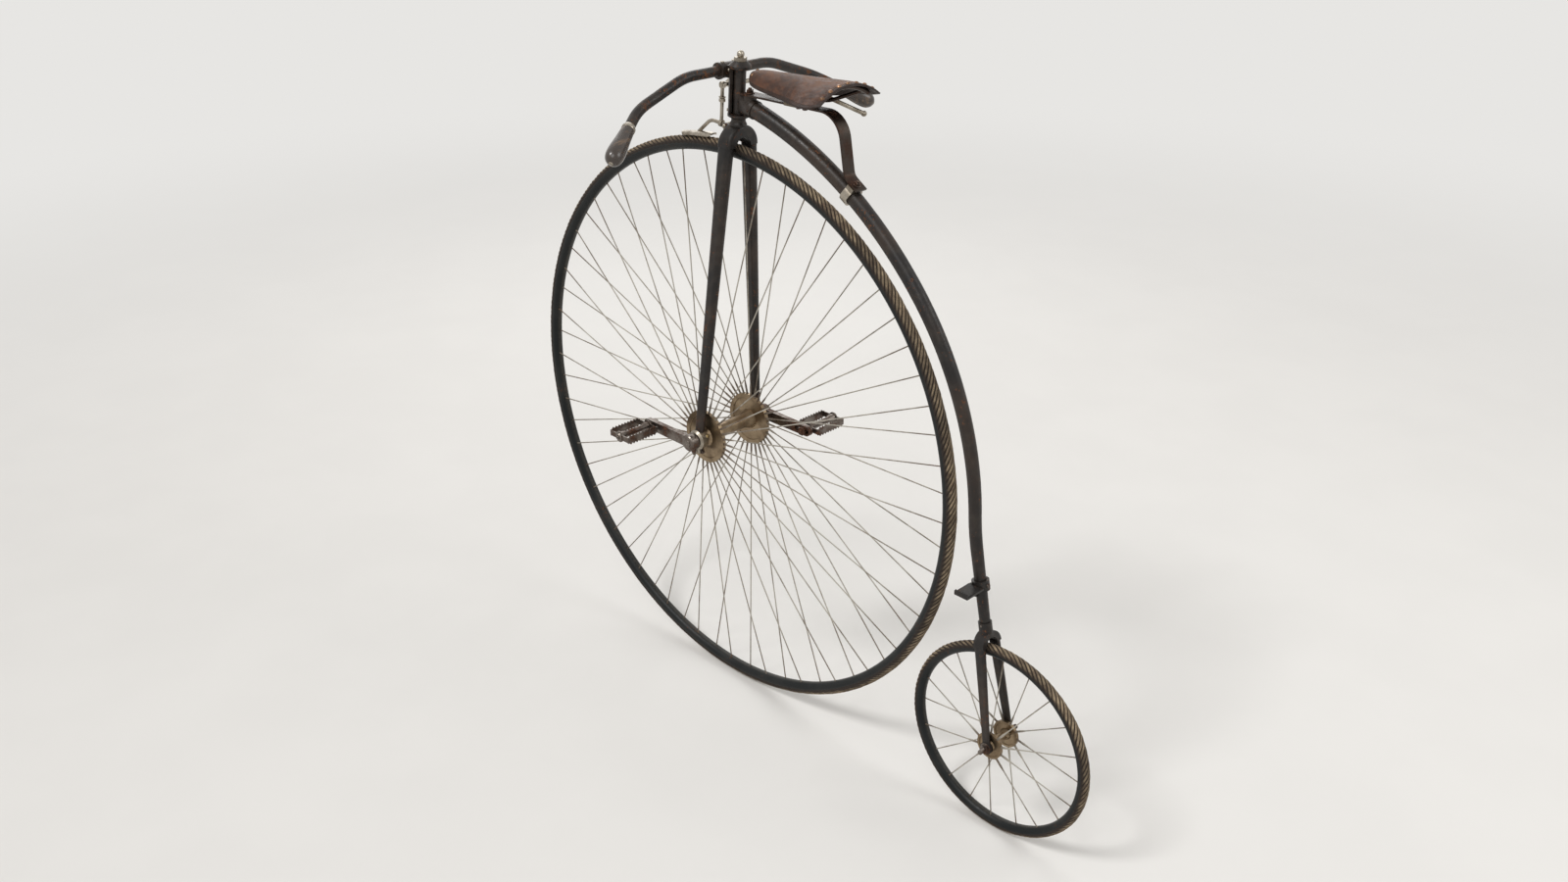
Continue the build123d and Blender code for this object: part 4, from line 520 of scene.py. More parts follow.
def smooth_seams(node):
    """Shade a node's faces as one surface where they meet smoothly. No point moves."""
    mesh = node.data
    normals = [Vector(UP)] * len(mesh.vertices)
    for loop, corner in zip(mesh.loops, mesh.corner_normals):
        normals[loop.vertex_index] = corner.vector.copy()
    together = {}
    for vertex in mesh.vertices:
        together.setdefault(vertex.co.to_tuple(6), []).append(vertex.index)
    joined = list(normals)
    for group in together.values():
        if len(group) > 1:
            for here in group:
                joined[here] = sum((
                    normals[there] for there in group
                    if normals[there].angle(normals[here], 0) < SEAM_ANGLE), Vector()).normalized()
    mesh.normals_split_custom_set_from_vertices(joined)


# Mesh making

FINISHES = {}             # material of each finish, by its name
NUT_FLAT = math.cos(math.pi / 6)  # distance of a nut's flats for corners at 1
SLOT = math.asin(0.17)    # half of the angle that a screw's slot takes up
SLOT_STEPS = 14
RING_SIDES = 28
# Head of a saddle rivet: distance from its axis and height, in its radius.
RIVET_HEAD = ((1.12, 0), (1.12, 0.14), (1, 0.26), (0.86, 0.5), (0.58, 0.68), (0.25, 0.76),
              (0.05, 0.77))


def polar(place, radius, turn, height):
    """Point at a distance from a place's Z axis, at an angle and a height."""
    return place @ Vector((radius * math.cos(turn), radius * math.sin(turn), height))


class Shape:
    """Vertices and faces of one piece, gathered from skins over rings of points.

    Its fittings stand on the Z axis of a place, with sizes in millimetres.
    """

    def __init__(self):
        self.vertices = []
        self.faces = []
        self.marks = {}

    def skin(self, rings, closed=False, capped=True, around=True):
        """Faces between one ring of points and the next. A closed skin joins last to first."""
        base = len(self.vertices)
        count = len(rings[0])
        for ring in rings:
            self.vertices += ring
        for number in range(len(rings) if closed else len(rings) - 1):
            here = base + number * count
            there = base + (number + 1) % len(rings) * count
            for point in range(count if around else count - 1):
                after = (point + 1) % count
                self.faces.append((here + point, here + after, there + after, there + point))
        if capped and not closed:
            last = base + (len(rings) - 1) * count
            self.faces += [tuple(range(base, base + count))[::-1], tuple(range(last, last + count))]

    def turned(self, outline, place, sides=24, unit=MM):
        """Form turned about the axis, from (radius, height) corners in a unit."""
        self.skin([[
            polar(place, radius * unit, math.tau * side / sides, height * unit)
            for side in range(sides)] for radius, height in outline])

    def hexagon(self, radius, low, high, place, turn=0.0):
        """Six-sided nut or bolt head, over its corners, which are rounded at both ends."""
        chamfer = (high - low) * 0.16
        self.skin([[
            polar(place, size * radius * MM * (NUT_FLAT if side % 2 else corner),
                  math.tau * side / 12 + turn, height * MM)
            for side in range(12)] for size, height, corner in (
                (0.97, low, 1 - 0.6 * (1 - NUT_FLAT)), (1, low + chamfer, 1),
                (1, high - chamfer, 1), (0.96, high, 1 - 0.9 * (1 - NUT_FLAT)))])

    def bolt(self, radius, place, washer=1.35, proud=0.55, nut_height=0.9):
        """Washer, nut and the round end of the bolt that stands out of it."""
        top = radius * (0.22 + nut_height)
        end = top + radius * proud
        core = radius * 0.52
        self.turned([(washer, 0), (washer, 0.154), (washer * 0.96, 0.22)], place, 24, radius * MM)
        self.hexagon(radius, radius * 0.22, top, place)
        self.turned([
            (core, top - radius * nut_height * 0.1), (core, end - core * 0.35),
            (core * 0.8, end - core * 0.1), (core * 0.4, end)], place, 16)

    def rivet(self, radius, place, height):
        """Round rivet head."""
        self.turned([
            (1, -0.3), (1, height * 0.18), (0.90, height * 0.5), (0.66, height * 0.8),
            (0.34, height * 0.96), (0.04, height)], place, 18, radius * MM)

    def slotted(self, radius, place, height=0.75):
        """Round screw head with a slot across it."""
        self.turned([(1, -0.2), (1, height * 0.45), (0.98, height * 0.5)], place, 24, radius * MM)
        for half in (0, math.pi):
            self.skin([[
                polar(place, radius * MM * size,
                      half + SLOT + (math.pi - 2 * SLOT) * step / SLOT_STEPS,
                      radius * MM * height * rise)
                for step in range(SLOT_STEPS + 1)]
                for size, rise in ((1, 0.4), (1, 0.82), (0.9, 1))])

    def ring(self, inner, outer, width, place):
        """Ring about the axis, with its edges rounded off."""
        edge = min(outer - inner, width) * 0.22
        section = [
            (inner, -width / 2), (outer - edge, -width / 2), (outer, edge - width / 2),
            (outer, width / 2 - edge), (outer - edge, width / 2), (inner, width / 2)]
        self.skin([[
            polar(place, radius * MM, math.tau * side / RING_SIDES, height * MM)
            for radius, height in section] for side in range(RING_SIDES)], closed=True)

    def threaded(self, radius, low, high, pitch, place):
        """Rod with the ridges of a thread and a round end."""
        outline = []
        for turn in range(int((high - low) / pitch)):
            outline += [(radius * 0.88, low + pitch * turn), (radius, low + pitch * (turn + 0.5))]
        outline += [(radius * 0.86, high), (radius * 0.6, high + radius * 0.12)]
        self.turned(outline, place, 20)


def place_at(point, direction, base=Matrix.Identity(4)):
    """Matrix at a point of a base frame, with Z along a direction."""
    turn = Vector(UP).rotation_difference(Vector(direction).normalized())
    return base @ Matrix.Translation(Vector(point)) @ turn.to_matrix().to_4x4()


def spot(point, direction, base=STEERING):
    """Place of a fitting, with its point in millimetres."""
    return place_at(Vector(point) * MM, direction, base)


def mirrored(point, side):
    """A point of the left side, or its mirror image on the right."""
    ahead, left, up = point
    return Vector((ahead, side * left, up))


def make_piece(name, shape, body, finish, stands_for=(), sharp=32.0):
    """Blender object of a shape, riding on a body."""
    mesh = bpy.data.meshes.new(name)
    mesh.from_pydata(shape.vertices, [], shape.faces)
    for mark, values in shape.marks.items():
        mesh.attributes.new(mark, "FLOAT", "POINT").data.foreach_set("value", values)
    build = bmesh.new()
    build.from_mesh(mesh)
    bmesh.ops.remove_doubles(build, verts=build.verts, dist=1e-6)
    bmesh.ops.recalc_face_normals(build, faces=build.faces)
    build.to_mesh(mesh)
    build.free()
    mesh.shade_smooth()
    mesh.set_sharp_from_angle(angle=math.radians(sharp))
    mesh.materials.append(FINISHES[finish])
    piece = bpy.data.objects.new(name, mesh)
    bpy.context.scene.collection.objects.link(piece)
    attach(piece, body)
    if stands_for:
        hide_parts(*stands_for)
    return piece


# Wheels

RIB_STEPS = 8             # rings of points for each rib
TREAD_STEPS = 20          # points across the tread
RIBS_DEEP_TO = math.radians(42)   # angle from the crown down to which the grooves have their depth
RIBS_SHALLOW_FROM = math.radians(66)
SIDE_DEPTH = 0.36         # share of the grooves' depth that is left beside the rim
LOWEST_RIB = 0.80         # of the ribs, which differ a little in height
CREST_FROM = 0.3          # share of a rib's height where its tan crest begins; the tan is partly wear, partly painted light
WORN_AND_LIT_TO, DARK_FROM = 0.75, 1.45   # angles from the crown between which the crests' tan, partly wear and partly painted light, fades
SIDE_WEAR_AND_LIGHT = 0.15          # share of the crests' tan, partly wear and partly painted light, that is left beside the rim
RIM_STEPS = 360           # rings of points round a rim
# Lip of a rim from its outside: in from the outer face and down from the top, in wall thicknesses.
RIM_LIP = ((0, 0.5), (0.25, 0.1), (0.75, 0.1), (1, 0.5))
LIP_RUBBED, FLOOR_RUBBED = 1.6, 0.9   # wall thicknesses over which the rubbed marks fade
SPOKE_SIDES = 8
SPOKE_IN_FLANGE = 1.5 * MM
SPOKE_IN_RIM = 0.6 * MM
SPOKE_RUSTED = 0.16       # share of a spoke's length, from each end


def ease(value, start, end):
    """Smooth step from 0 to 1."""
    share = min(max((value - start) / (end - start), 0.0), 1.0)
    return share * share * (3 - 2 * share)


def wheel_point(centre, reach, turn, across):
    """Point at a distance from a wheel's axle."""
    return centre + Vector((reach * math.cos(turn), across, reach * math.sin(turn)))


def ribbed_tyre(wheel, settings):
    """Rubber ring with ribs laid side by side round its tread, like a rope's strands."""
    name = wheel + "_tread"
    centre = middle(wheel + "_tyre")
    radius = half_size(wheel + "_tyre").z
    height = radius - half_size(wheel + "_rim").z + getattr(settings, wheel + "_lap")
    half_width = half_size(wheel + "_rim").y + settings.lap_thickness
    ribs = round(math.tau * radius / settings.rib_pitch)
    uneven = random.Random(name)
    heights = [uneven.uniform(LOWEST_RIB, 1.0) for _ in range(ribs)]
    run = settings.rib_lean * (height + half_width) / 2 / settings.rib_pitch
    rings, crests, strands = [], [], []
    for step in range(ribs * RIB_STEPS):
        phase = step / RIB_STEPS
        rib = math.sqrt(max(0.0, 1 - (2 * (phase % 1) - 1) ** 2)) * heights[int(phase)]
        ring = []
        for point in range(TREAD_STEPS + 1):
            side = math.pi * (point / TREAD_STEPS - 0.5)
            down = abs(side)
            shown = 1 - (1 - SIDE_DEPTH) * ease(down, RIBS_DEEP_TO, RIBS_SHALLOW_FROM)
            depth = settings.rib_depth * (1 - rib) * shown
            across = (half_width - depth) * math.sin(side)
            if point in (0, TREAD_STEPS):
                across -= math.copysign(settings.lap_thickness, side)
            ring.append(wheel_point(
                centre, radius - height + (height - depth) * math.cos(side),
                math.tau * (phase + side * run) / ribs, across))
            # Share of tan on the crests, partly wear and partly painted light, fading down the
            # sides.
            worn_and_lit = 1 - (1 - SIDE_WEAR_AND_LIGHT) * ease(down, WORN_AND_LIT_TO, DARK_FROM)
            crests.append(max(0.0, rib - CREST_FROM) / (1 - CREST_FROM) * worn_and_lit)
            strands.append(rib)
        rings.append(ring)
    shape = Shape()
    shape.skin(rings, closed=True, around=False)
    shape.marks = {"mark": crests, "strand": strands}
    make_piece(name, shape, wheel + "_wheel", "tread", [wheel + "_tyre"], 180)


def trough_rim(wheel, settings):
    """U-shaped steel rim with round lips, marked where its edges are rubbed."""
    node = wheel + "_rim"
    centre = middle(node)
    lip, half, wall = half_size(node).z, half_size(node).y, settings.rim_wall
    floor = lip - getattr(settings, wheel + "_rim_depth")

    def bottom(radius, side, steps):
        """Half circle of the rim's bottom, towards one side."""
        turns = [side * math.pi * (step / steps - 0.5) for step in range(steps + 1)]
        return [(radius * math.sin(turn), floor + half - radius * math.cos(turn)) for turn in turns]

    section = bottom(half, 1, 18)
    section += [(half - inward * wall, lip - down * wall) for inward, down in RIM_LIP]
    section += bottom(half - wall, -1, 12)
    section += [(inward * wall - half, lip - down * wall) for inward, down in RIM_LIP[::-1]]
    shape = Shape()
    shape.skin([[
        wheel_point(centre, reach, math.tau * step / RIM_STEPS, across)
        for across, reach in section] for step in range(RIM_STEPS)], closed=True)
    shape.marks["mark"] = RIM_STEPS * [
        max(0.0, 1 - (lip - reach) / (LIP_RUBBED * wall),
            0.8 * (1 - (reach - floor) / (FLOOR_RUBBED * wall)))
        for _, reach in section]
    make_piece(wheel + "_rim_band", shape, wheel + "_wheel", "rim", [node], 50)


def direct_spokes(wheel, settings, tyres):
    """Butted spokes, in turn to the left and the right flange, straight into the rim."""
    centre = middle(wheel + "_hub")
    count = getattr(settings, wheel + "_count")
    half_spacing = getattr(settings, wheel + "_spacing") / 2
    low = half_size(wheel + "_hub").z - SPOKE_IN_FLANGE
    high = half_size(wheel + "_rim").z - getattr(tyres, wheel + "_rim_depth") + SPOKE_IN_RIM
    butt, thin = settings.butt / 2, getattr(settings, wheel + "_wire") / 2
    shape = Shape()
    marks = []
    for number in range(count):
        side = SIDES[number % 2]
        turn = Matrix.Translation(centre) @ Matrix.Rotation(math.tau * number / count, 4, "Y")
        start = Vector((0, side * half_spacing, low))
        end = Vector((0, side * settings.rim_offset, high))
        run = (end - start).length
        outline = [
            (butt * 1.45, 0), (butt * 1.45, 2.4 * MM), (butt, 2.9 * MM),
            (butt, settings.butt_length), (thin, settings.butt_length * 1.6), (thin, run * 0.34),
            (thin, run * 0.67), (thin, run - 2.2 * MM), (thin * 1.35, run - 1.2 * MM),
            (thin * 1.35, run)]
        shape.turned(outline, place_at(start, end - start, turn), SPOKE_SIDES, 1)
        for _, along in outline:
            marks += [max(0.0, 1 - min(along, run - along) / (SPOKE_RUSTED * run))] * SPOKE_SIDES
    shape.marks["mark"] = marks
    make_piece(
        wheel + "_spoke_wires", shape, wheel + "_wheel", "wire", [wheel + "_spokes"])


# Saddle

# Sections of the leather in millimetres: ahead of the saddle's middle, half width, how far
# the ridge lies below the highest point, how far the edges hang below the ridge.
LEATHER_SECTIONS = [
    (138.0, 14.0, 11.0, 16.0),
    (129.0, 21.0, 8.0, 27.0),
    (108.0, 27.0, 5.0, 34.0),
    (62.0, 33.0, 3.0, 41.0),
    (16.0, 44.0, 1.4, 44.0),
    (-30.0, 64.0, 0.0, 44.0),
    (-72.0, 88.0, -1.4, 41.0),
    (-110.0, 97.0, -2.0, 37.0),
    (-132.0, 88.0, -0.6, 30.0),
]
LEATHER_ROWS = 84
LEATHER_COLUMNS = 44
EDGE_DROP, EDGE_RISE, END_PUSH = 0.28, 0.12, 0.3      # rounding of the hide, in its thickness
CANTLE = (-124.0, 0.75)   # rows of rivets: ahead of the saddle's middle, share to each side
NOSE = (127.0, 0.475)
NOSE_RIVETS = 3
RIVET_SINK = 0.4 * MM


def section_at(ahead):
    """Half width, ridge and drop of the leather, on a smooth line through its sections."""
    rows = LEATHER_SECTIONS
    number = next(n for n in range(len(rows) - 1) if rows[n + 1][0] <= ahead <= rows[n][0])
    first, fourth = rows[max(number - 1, 0)], rows[min(number + 2, len(rows) - 1)]
    second, third = rows[number], rows[number + 1]
    run = third[0] - second[0]
    share = (ahead - second[0]) / run
    squared, cubed = share ** 2, share ** 3
    values = []
    for column in (1, 2, 3):
        slope_in = (third[column] - first[column]) / (third[0] - first[0]) * run
        slope_out = (fourth[column] - second[column]) / (fourth[0] - second[0]) * run
        values.append(
            (2 * cubed - 3 * squared + 1) * second[column]
            + (cubed - 2 * squared + share) * slope_in
            + (3 * squared - 2 * cubed) * third[column] + (cubed - squared) * slope_out)
    return values


def leather_point(ahead, share, under=0.0):
    """Point of the leather, share from -1 at the right edge to 1 at the left one.

    It lies in the outer face, or under it by a depth in metres.
    """
    half_width, ridge, drop = section_at(ahead)
    half_width -= under / MM
    ridge += under / MM
    drop -= under / MM
    radius = (half_width ** 2 + drop ** 2) / (2 * drop)
    spread = math.atan2(half_width, radius - drop)
    across = radius * math.sin(share * spread)
    height = radius * math.cos(share * spread) - radius - ridge
    return Vector((SADDLE_MIDDLE_X + ahead * MM, across * MM, height * MM))


def leather_normal(ahead, share):
    """Outward direction of the leather's face."""
    here = leather_point(ahead, share)
    along = leather_point(ahead - 1, share) - here
    across = leather_point(ahead, share - 0.01) - here
    normal = across.cross(along).normalized()
    return normal if normal.z > 0 else -normal


def hide(thickness):
    """Closed leather shell with round edges, with marks for its edge and its top."""
    front, rear = LEATHER_SECTIONS[0][0] - 0.01, LEATHER_SECTIONS[-1][0] + 0.01
    columns = range(LEATHER_COLUMNS + 1)
    shares = [2 * column / LEATHER_COLUMNS - 1 for column in columns]
    unmarked = [0.0] * (LEATHER_COLUMNS + 3)
    rings, edges, tops = [], [], []
    for row in range(LEATHER_ROWS + 1):
        ahead = front + (rear - front) * row / LEATHER_ROWS
        outer = [leather_point(ahead, share) for share in shares]
        inner = [leather_point(ahead, share, thickness) for share in shares]
        right, left = (
            (outer[end] + inner[end]) / 2 - Vector((0, 0, thickness * EDGE_DROP))
            for end in (0, -1))
        for end in (0, -1):
            outer[end] = outer[end] + Vector((0, 0, thickness * EDGE_RISE))
        rings.append(outer + [left] + inner[::-1] + [right])
        width = sum((after - before).length for before, after in zip(outer, outer[1:]))
        to_end = min(front - ahead, ahead - rear) * MM
        edges += [min(width * min(column, LEATHER_COLUMNS - column) / LEATHER_COLUMNS, to_end)
                  for column in columns] + unmarked
        # Mark for the lighter top, which is partly rubbed wear and partly a painted sheen.
        tops += [max(0.0, 1 - abs(share) * 1.5) for share in shares] + unmarked
    shape = Shape()
    shape.skin(rings, capped=False)
    last = 2 * LEATHER_COLUMNS + 2
    for row, push in ((0, END_PUSH * thickness), (LEATHER_ROWS, -END_PUSH * thickness)):
        base, fold = row * len(rings[0]), len(shape.vertices)
        shape.vertices += [
            (rings[row][column] + rings[row][last - column]) / 2 + Vector((push, 0, 0))
            for column in columns]
        for column in range(LEATHER_COLUMNS):
            below = base + last - column
            shape.faces += [
                (base + column, base + column + 1, fold + column + 1, fold + column),
                (fold + column, fold + column + 1, below - 1, below)]
        corner = base + LEATHER_COLUMNS
        shape.faces += [(base, fold, base + last, base + last + 1),
                        (corner, corner + 1, corner + 2, fold + LEATHER_COLUMNS)]
    folded = [0.0] * 2 * len(columns)
    shape.marks = {"edge": edges + folded, "top": tops + folded}
    return shape


def saddle_rivets(settings):
    """Round-headed rivets through the wide end and the nose."""
    shape = Shape()
    for (ahead, reach), count, radius in (
            (CANTLE, settings.cantle_rivets, settings.rivet * 0.5),
            (NOSE, NOSE_RIVETS, settings.rivet * 0.4)):
        for number in range(count):
            share = reach * (2 * number / (count - 1) - 1)
            normal = leather_normal(ahead, share)
            place = place_at(leather_point(ahead, share) - normal * RIVET_SINK, normal)
            shape.turned(RIVET_HEAD, place, 20, radius)
    return shape


# Fittings. Points and sizes are in millimetres, from the front or the rear axle.

LEVER_PIVOT = (57.5, -24.0, 800.0)
PUSH_ROD = (52.0, 0.0)                # forward, left
PUSH_ROD_ENDS = (718.0, 800.0)        # middles of the spoon's arm and of the lever
PUSH_ROD_NUTS = ((764.0, 7.0), (772.4, 3.6))      # height, thickness
SPOON_PIVOT = (32.0, 10.2, 718.0)     # of the left ear
LUG_SCREW = (37.0, 16.0, 851.8)       # of the left half
HEAD_SCREW_HEIGHTS = (757.0, 841.0)
HEAD_SCREW_TURN = math.radians(38)
HEAD_SCREW_OUT = 22.9                 # from the head's axis
GRIP_START = (2.15, 296.8, 766.8)     # of the left grip
GRIP_DIRECTION = (-0.454, 0.792, -0.409)
FERRULE_BACK = 3.0                    # of its middle, behind the grip's start
BUTTON_FROM_START = 102.8
# Turned fittings: distance from the axis, height.
FERRULE = ((11.1, -5), (12.0, -4.6), (12.3, -3), (13.2, -1.5), (14.1, 0.5), (14.3, 5.5),
           (13.9, 6.6), (13.1, 6.8))
BEARING_MIDDLE = 91.5
BEARING_BOLT_DROP = 29.5
BEARING_EAR = 9.0                     # from the slit to an ear's face
OIL_CUP_ANGLE = math.radians(30)
OIL_CUP_LID, OIL_CUP_KNOB = 33.9, 35.7    # from the axle's middle
CRANK_MIDDLE = 117.0
CRANK_END = 128.0
CRANK_THROW = 140.0
COTTER_BACK = 9.0                     # of the cotter's middle, behind the axle's
BOSS_RADIUS = 20.0
COTTER_HEAD = ((4.6, -4), (4.6, 2.2), (4.0, 3.4), (2.2, 3.9))
COTTER_SEAT = ((6.6, -6), (6.6, 0.2), (6.2, 0.6))
AXLE_CAP = ((8.9, -1), (8.9, 0.9), (8.0, 1.7), (2.6, 1.7), (1.6, 0.7), (0.2, 0.2))
CAGE_SIDE = 33.0                      # from the pedal's pin to a toothed plate's face
CAGE_RIVETS = (132.5, 211.5)          # near the two ends of a plate
CAGE_RIVET_HEIGHT = 3.4
BARREL_END = 220.0
NECK_BOLT = (-87.9, 0.0, 796.9)
BLOCK_BOLTS = (-229.0, -247.0)        # forward
BLOCK_TOP, SPRING_UNDERSIDE = 816.6, 792.9
TAIL_BOLT = (-392.1, 0.0, 662.9)
TAIL_NORMAL = (-0.559, 0.0, 0.829)
COLLAR_RIVET = (-99.5, 20.0, 764.6)   # on the left
REAR_COLLAR_RIVET = (-777.3, 14.5, -190.7)
STEP_RING = Vector((-759.0, 0.0, -102.5))
STEP_SCREW_OUT, STEP_BOLT_OUT = 18.36, 18.26      # from the ring's middle
BACKBONE_AHEAD = Vector((0.979, 0.0, -0.203))     # square to the backbone at the step
STEP_RIVETS = ((30.0, 9.0), (30.0, -9.0), (52.0, 9.0), (52.0, -9.0))      # left, ahead
STEP_PLATE_UNDERSIDE = -105.0
REAR_WASHER = 44.1                    # of its middle, to each side
REAR_THREAD = (51.1, 63.2)            # its start and its end


def steering_fittings(shape):
    """Nuts, pins and screws of the head, the brake and the handlebar's lug."""
    shape.bolt(7.0, spot(LEVER_PIVOT, FORWARD), 1.3, 0.25, 0.55)
    for height, direction in zip(PUSH_ROD_ENDS, (FORWARD, LEFT)):
        shape.ring(4.2, 7.6, 8.5, spot((*PUSH_ROD, height), direction))
    for height, thick in PUSH_ROD_NUTS:
        # The height serves as a turn as well, so that the nuts' corners don't line up.
        shape.hexagon(7.4, 0, thick, spot((*PUSH_ROD, height), UP), height)
    for side in SIDES:
        ear = spot(mirrored(SPOON_PIVOT, side), (0, side, 0))
        if side > 0:
            shape.rivet(5.4, ear, 0.7)
        else:
            shape.bolt(5.4, ear, 1.25, 0.4, 0.8)
        shape.slotted(4.2, spot(mirrored(LUG_SCREW, side), UP))
        outward = mirrored((math.cos(HEAD_SCREW_TURN), math.sin(HEAD_SCREW_TURN), 0), side)
        for height in HEAD_SCREW_HEIGHTS:
            shape.slotted(3.2, spot(outward * HEAD_SCREW_OUT + height * Vector(UP), outward))


def grip_fittings(shape):
    """Ferrule at each grip's neck and a button on its end."""
    for side in SIDES:
        start = mirrored(GRIP_START, side)
        along = mirrored(GRIP_DIRECTION, side).normalized()
        shape.turned(FERRULE, spot(start - along * FERRULE_BACK, along), 32)
        shape.slotted(4.6, spot(start + along * BUTTON_FROM_START, along), 0.34)


def bearing_bolts(shape):
    """Clamp bolts of the bearings, with the head in front and the nut behind."""
    for side, (ahead, proud) in product(SIDES, ((1, -0.4), (-1, 0.75))):
        shape.bolt(4.6, spot(
            (ahead * BEARING_EAR, side * BEARING_MIDDLE, -BEARING_BOLT_DROP),
            (ahead, 0, 0), AXLE), 1.3, proud, 0.85)


def oiler_lids(shape):
    """Round lids on the oil cups, each with its knob."""
    outward = Vector((-math.cos(OIL_CUP_ANGLE), 0, math.sin(OIL_CUP_ANGLE)))
    for side in SIDES:
        for radius, out, height in ((4.4, OIL_CUP_LID, 0.42), (1.4, OIL_CUP_KNOB, 1.2)):
            shape.rivet(radius, spot(
                outward * out + Vector((0, side * BEARING_MIDDLE, 0)), outward, AXLE), height)


def crank_cotters(shape):
    """Cotters through the cranks' bosses, and the axle's ends."""
    flat = math.sqrt(BOSS_RADIUS ** 2 - COTTER_BACK ** 2)
    for base in CRANKS.values():
        shape.turned(COTTER_HEAD, spot((-COTTER_BACK, CRANK_MIDDLE, flat), UP, base))
        shape.turned(COTTER_SEAT, spot((-COTTER_BACK, CRANK_MIDDLE, -flat), DOWN, base))
        shape.bolt(
            5.4, spot((-COTTER_BACK, CRANK_MIDDLE, -flat - 0.5), DOWN, base), 1.2, 0.9, 0.85)
        shape.turned(AXLE_CAP, spot((0, CRANK_END, 0), LEFT, base), 32)


def pedal_rivets(shape, base):
    """Rivets of a pedal's cage and the screw in its dust cap."""
    for plate, across, up in product(SIDES, CAGE_RIVETS, SIDES):
        shape.rivet(2.3, spot(
            (CRANK_THROW + plate * CAGE_SIDE, across, up * CAGE_RIVET_HEIGHT),
            (plate, 0, 0), base), 0.55)
    shape.slotted(5.0, spot((CRANK_THROW, BARREL_END, 0), LEFT, base), 0.5)


def frame_fittings(shape):
    """Bolts of the saddle's spring, rivets of the sockets, screws of the step."""
    shape.bolt(7.6, spot(NECK_BOLT, UP, AXLE), 1.35, 0.5, 0.8)
    shape.bolt(6.4, spot(TAIL_BOLT, TAIL_NORMAL, AXLE), 1.4, 0.5, 0.8)
    for ahead in BLOCK_BOLTS:
        shape.bolt(5.8, spot((ahead, 0, BLOCK_TOP), UP, AXLE))
        shape.bolt(5.8, spot((ahead, 0, SPRING_UNDERSIDE), DOWN, AXLE), 1.3, -0.4)
    for side in SIDES:
        for radius, point in ((2.8, COLLAR_RIVET), (2.4, REAR_COLLAR_RIVET)):
            shape.rivet(radius, spot(mirrored(point, side), (0, side, 0), AXLE), 0.5)
        outward = side * BACKBONE_AHEAD
        shape.slotted(4.4, spot(STEP_RING + outward * STEP_SCREW_OUT, outward, AXLE))
        end = place_at(REAR_AXLE, (0, side, 0))
        shape.ring(5.2, 12.6, 1.4, end @ Matrix.Translation((0, 0, REAR_WASHER * MM)))
        shape.threaded(5.35, *REAR_THREAD, 1.25, end)
    shape.bolt(5.0, spot(STEP_RING - Vector((0, STEP_BOLT_OUT, 0)), (0, -1, 0), AXLE))
    for left, ahead in STEP_RIVETS:
        shape.rivet(3.2, spot((STEP_RING.x + ahead, left, STEP_PLATE_UNDERSIDE), DOWN, AXLE), 0.5)


# Stage

FLOOR_REACH = 40.0        # metres from the middle to the floor's edge
FLOOR_SIDES = 96
FADE_FROM, FADE_TO = 2.0, 7.0     # metres from the middle where the floor goes over to the backdrop
EVEN_LIGHT = (1.0, 0.985, 0.96)
KEY_FROM = (0.7, 1.8, 2.5)        # metres from the object's middle
LAMPS = (                 # name, metres from the object's middle, size
    ("left_lamp", (-1.6, 2.9, 3.1), 2.4),
    ("right_lamp", (2.8, -2.2, 2.2), 3.0),
    ("rear_lamp", (-3.2, -1.8, 2.6), 2.2))


def lay_floor(settings):
    """Plain pale floor under the tyres, which goes over to the backdrop far away."""
    finish = Finish("pale_floor", settings.floor, {"Specular IOR Level": 0.2})
    cloud = finish.noise(3.0, 3, 0.5)
    finish.tint(cloud, 0.3, 0.7, [0.98 * part for part in settings.floor])
    finish.done(Roughness=finish.between(cloud, 0.3, 0.7, 0.66, 0.76))
    level = finish.node("VectorMath", {0: finish.place, 1: (1.0, 1.0, 0.0)}, operation="MULTIPLY")
    distance = finish.node("VectorMath", {0: level.outputs["Vector"]}, operation="LENGTH")
    far = finish.between(distance.outputs["Value"], FADE_FROM, FADE_TO)
    glow = finish.node("Emission", {"Color": settings.backdrop, "Strength": 1.0})
    blend = finish.node("MixShader", {
        "Fac": finish.math("MULTIPLY", far, finish.seen_directly()),
        1: finish.shader.outputs["BSDF"], 2: glow.outputs["Emission"]})
    finish.feed(finish.tree.nodes["Material Output"].inputs["Surface"], blend.outputs["Shader"])
    mesh = bpy.data.meshes.new("floor")
    middle_of_floor = Matrix.Translation((0, 0, FLOOR_HEIGHT))
    mesh.from_pydata([
        polar(middle_of_floor, FLOOR_REACH, math.tau * side / FLOOR_SIDES, 0)
        for side in range(FLOOR_SIDES)], [], [tuple(range(FLOOR_SIDES))])
    mesh.materials.append(finish.material)
    floor = bpy.data.objects.new("floor", mesh)
    bpy.context.scene.collection.objects.link(floor)


def light_world(settings):
    """Even light for the object, and a pale backdrop for the camera and for reflections."""
    world = bpy.data.worlds.new("studio")
    bpy.context.scene.world = world
    world.use_nodes = True
    graph = Graph(world.node_tree)
    graph.tree.nodes.clear()
    even = graph.node("Background", {"Color": EVEN_LIGHT, "Strength": settings.ambient})
    seen = graph.node("Background", {"Color": settings.backdrop})
    mix = graph.node("MixShader", {
        "Fac": graph.seen_directly(), 1: even.outputs[0], 2: seen.outputs[0]})
    graph.node("OutputWorld", {"Surface": mix.outputs[0]})


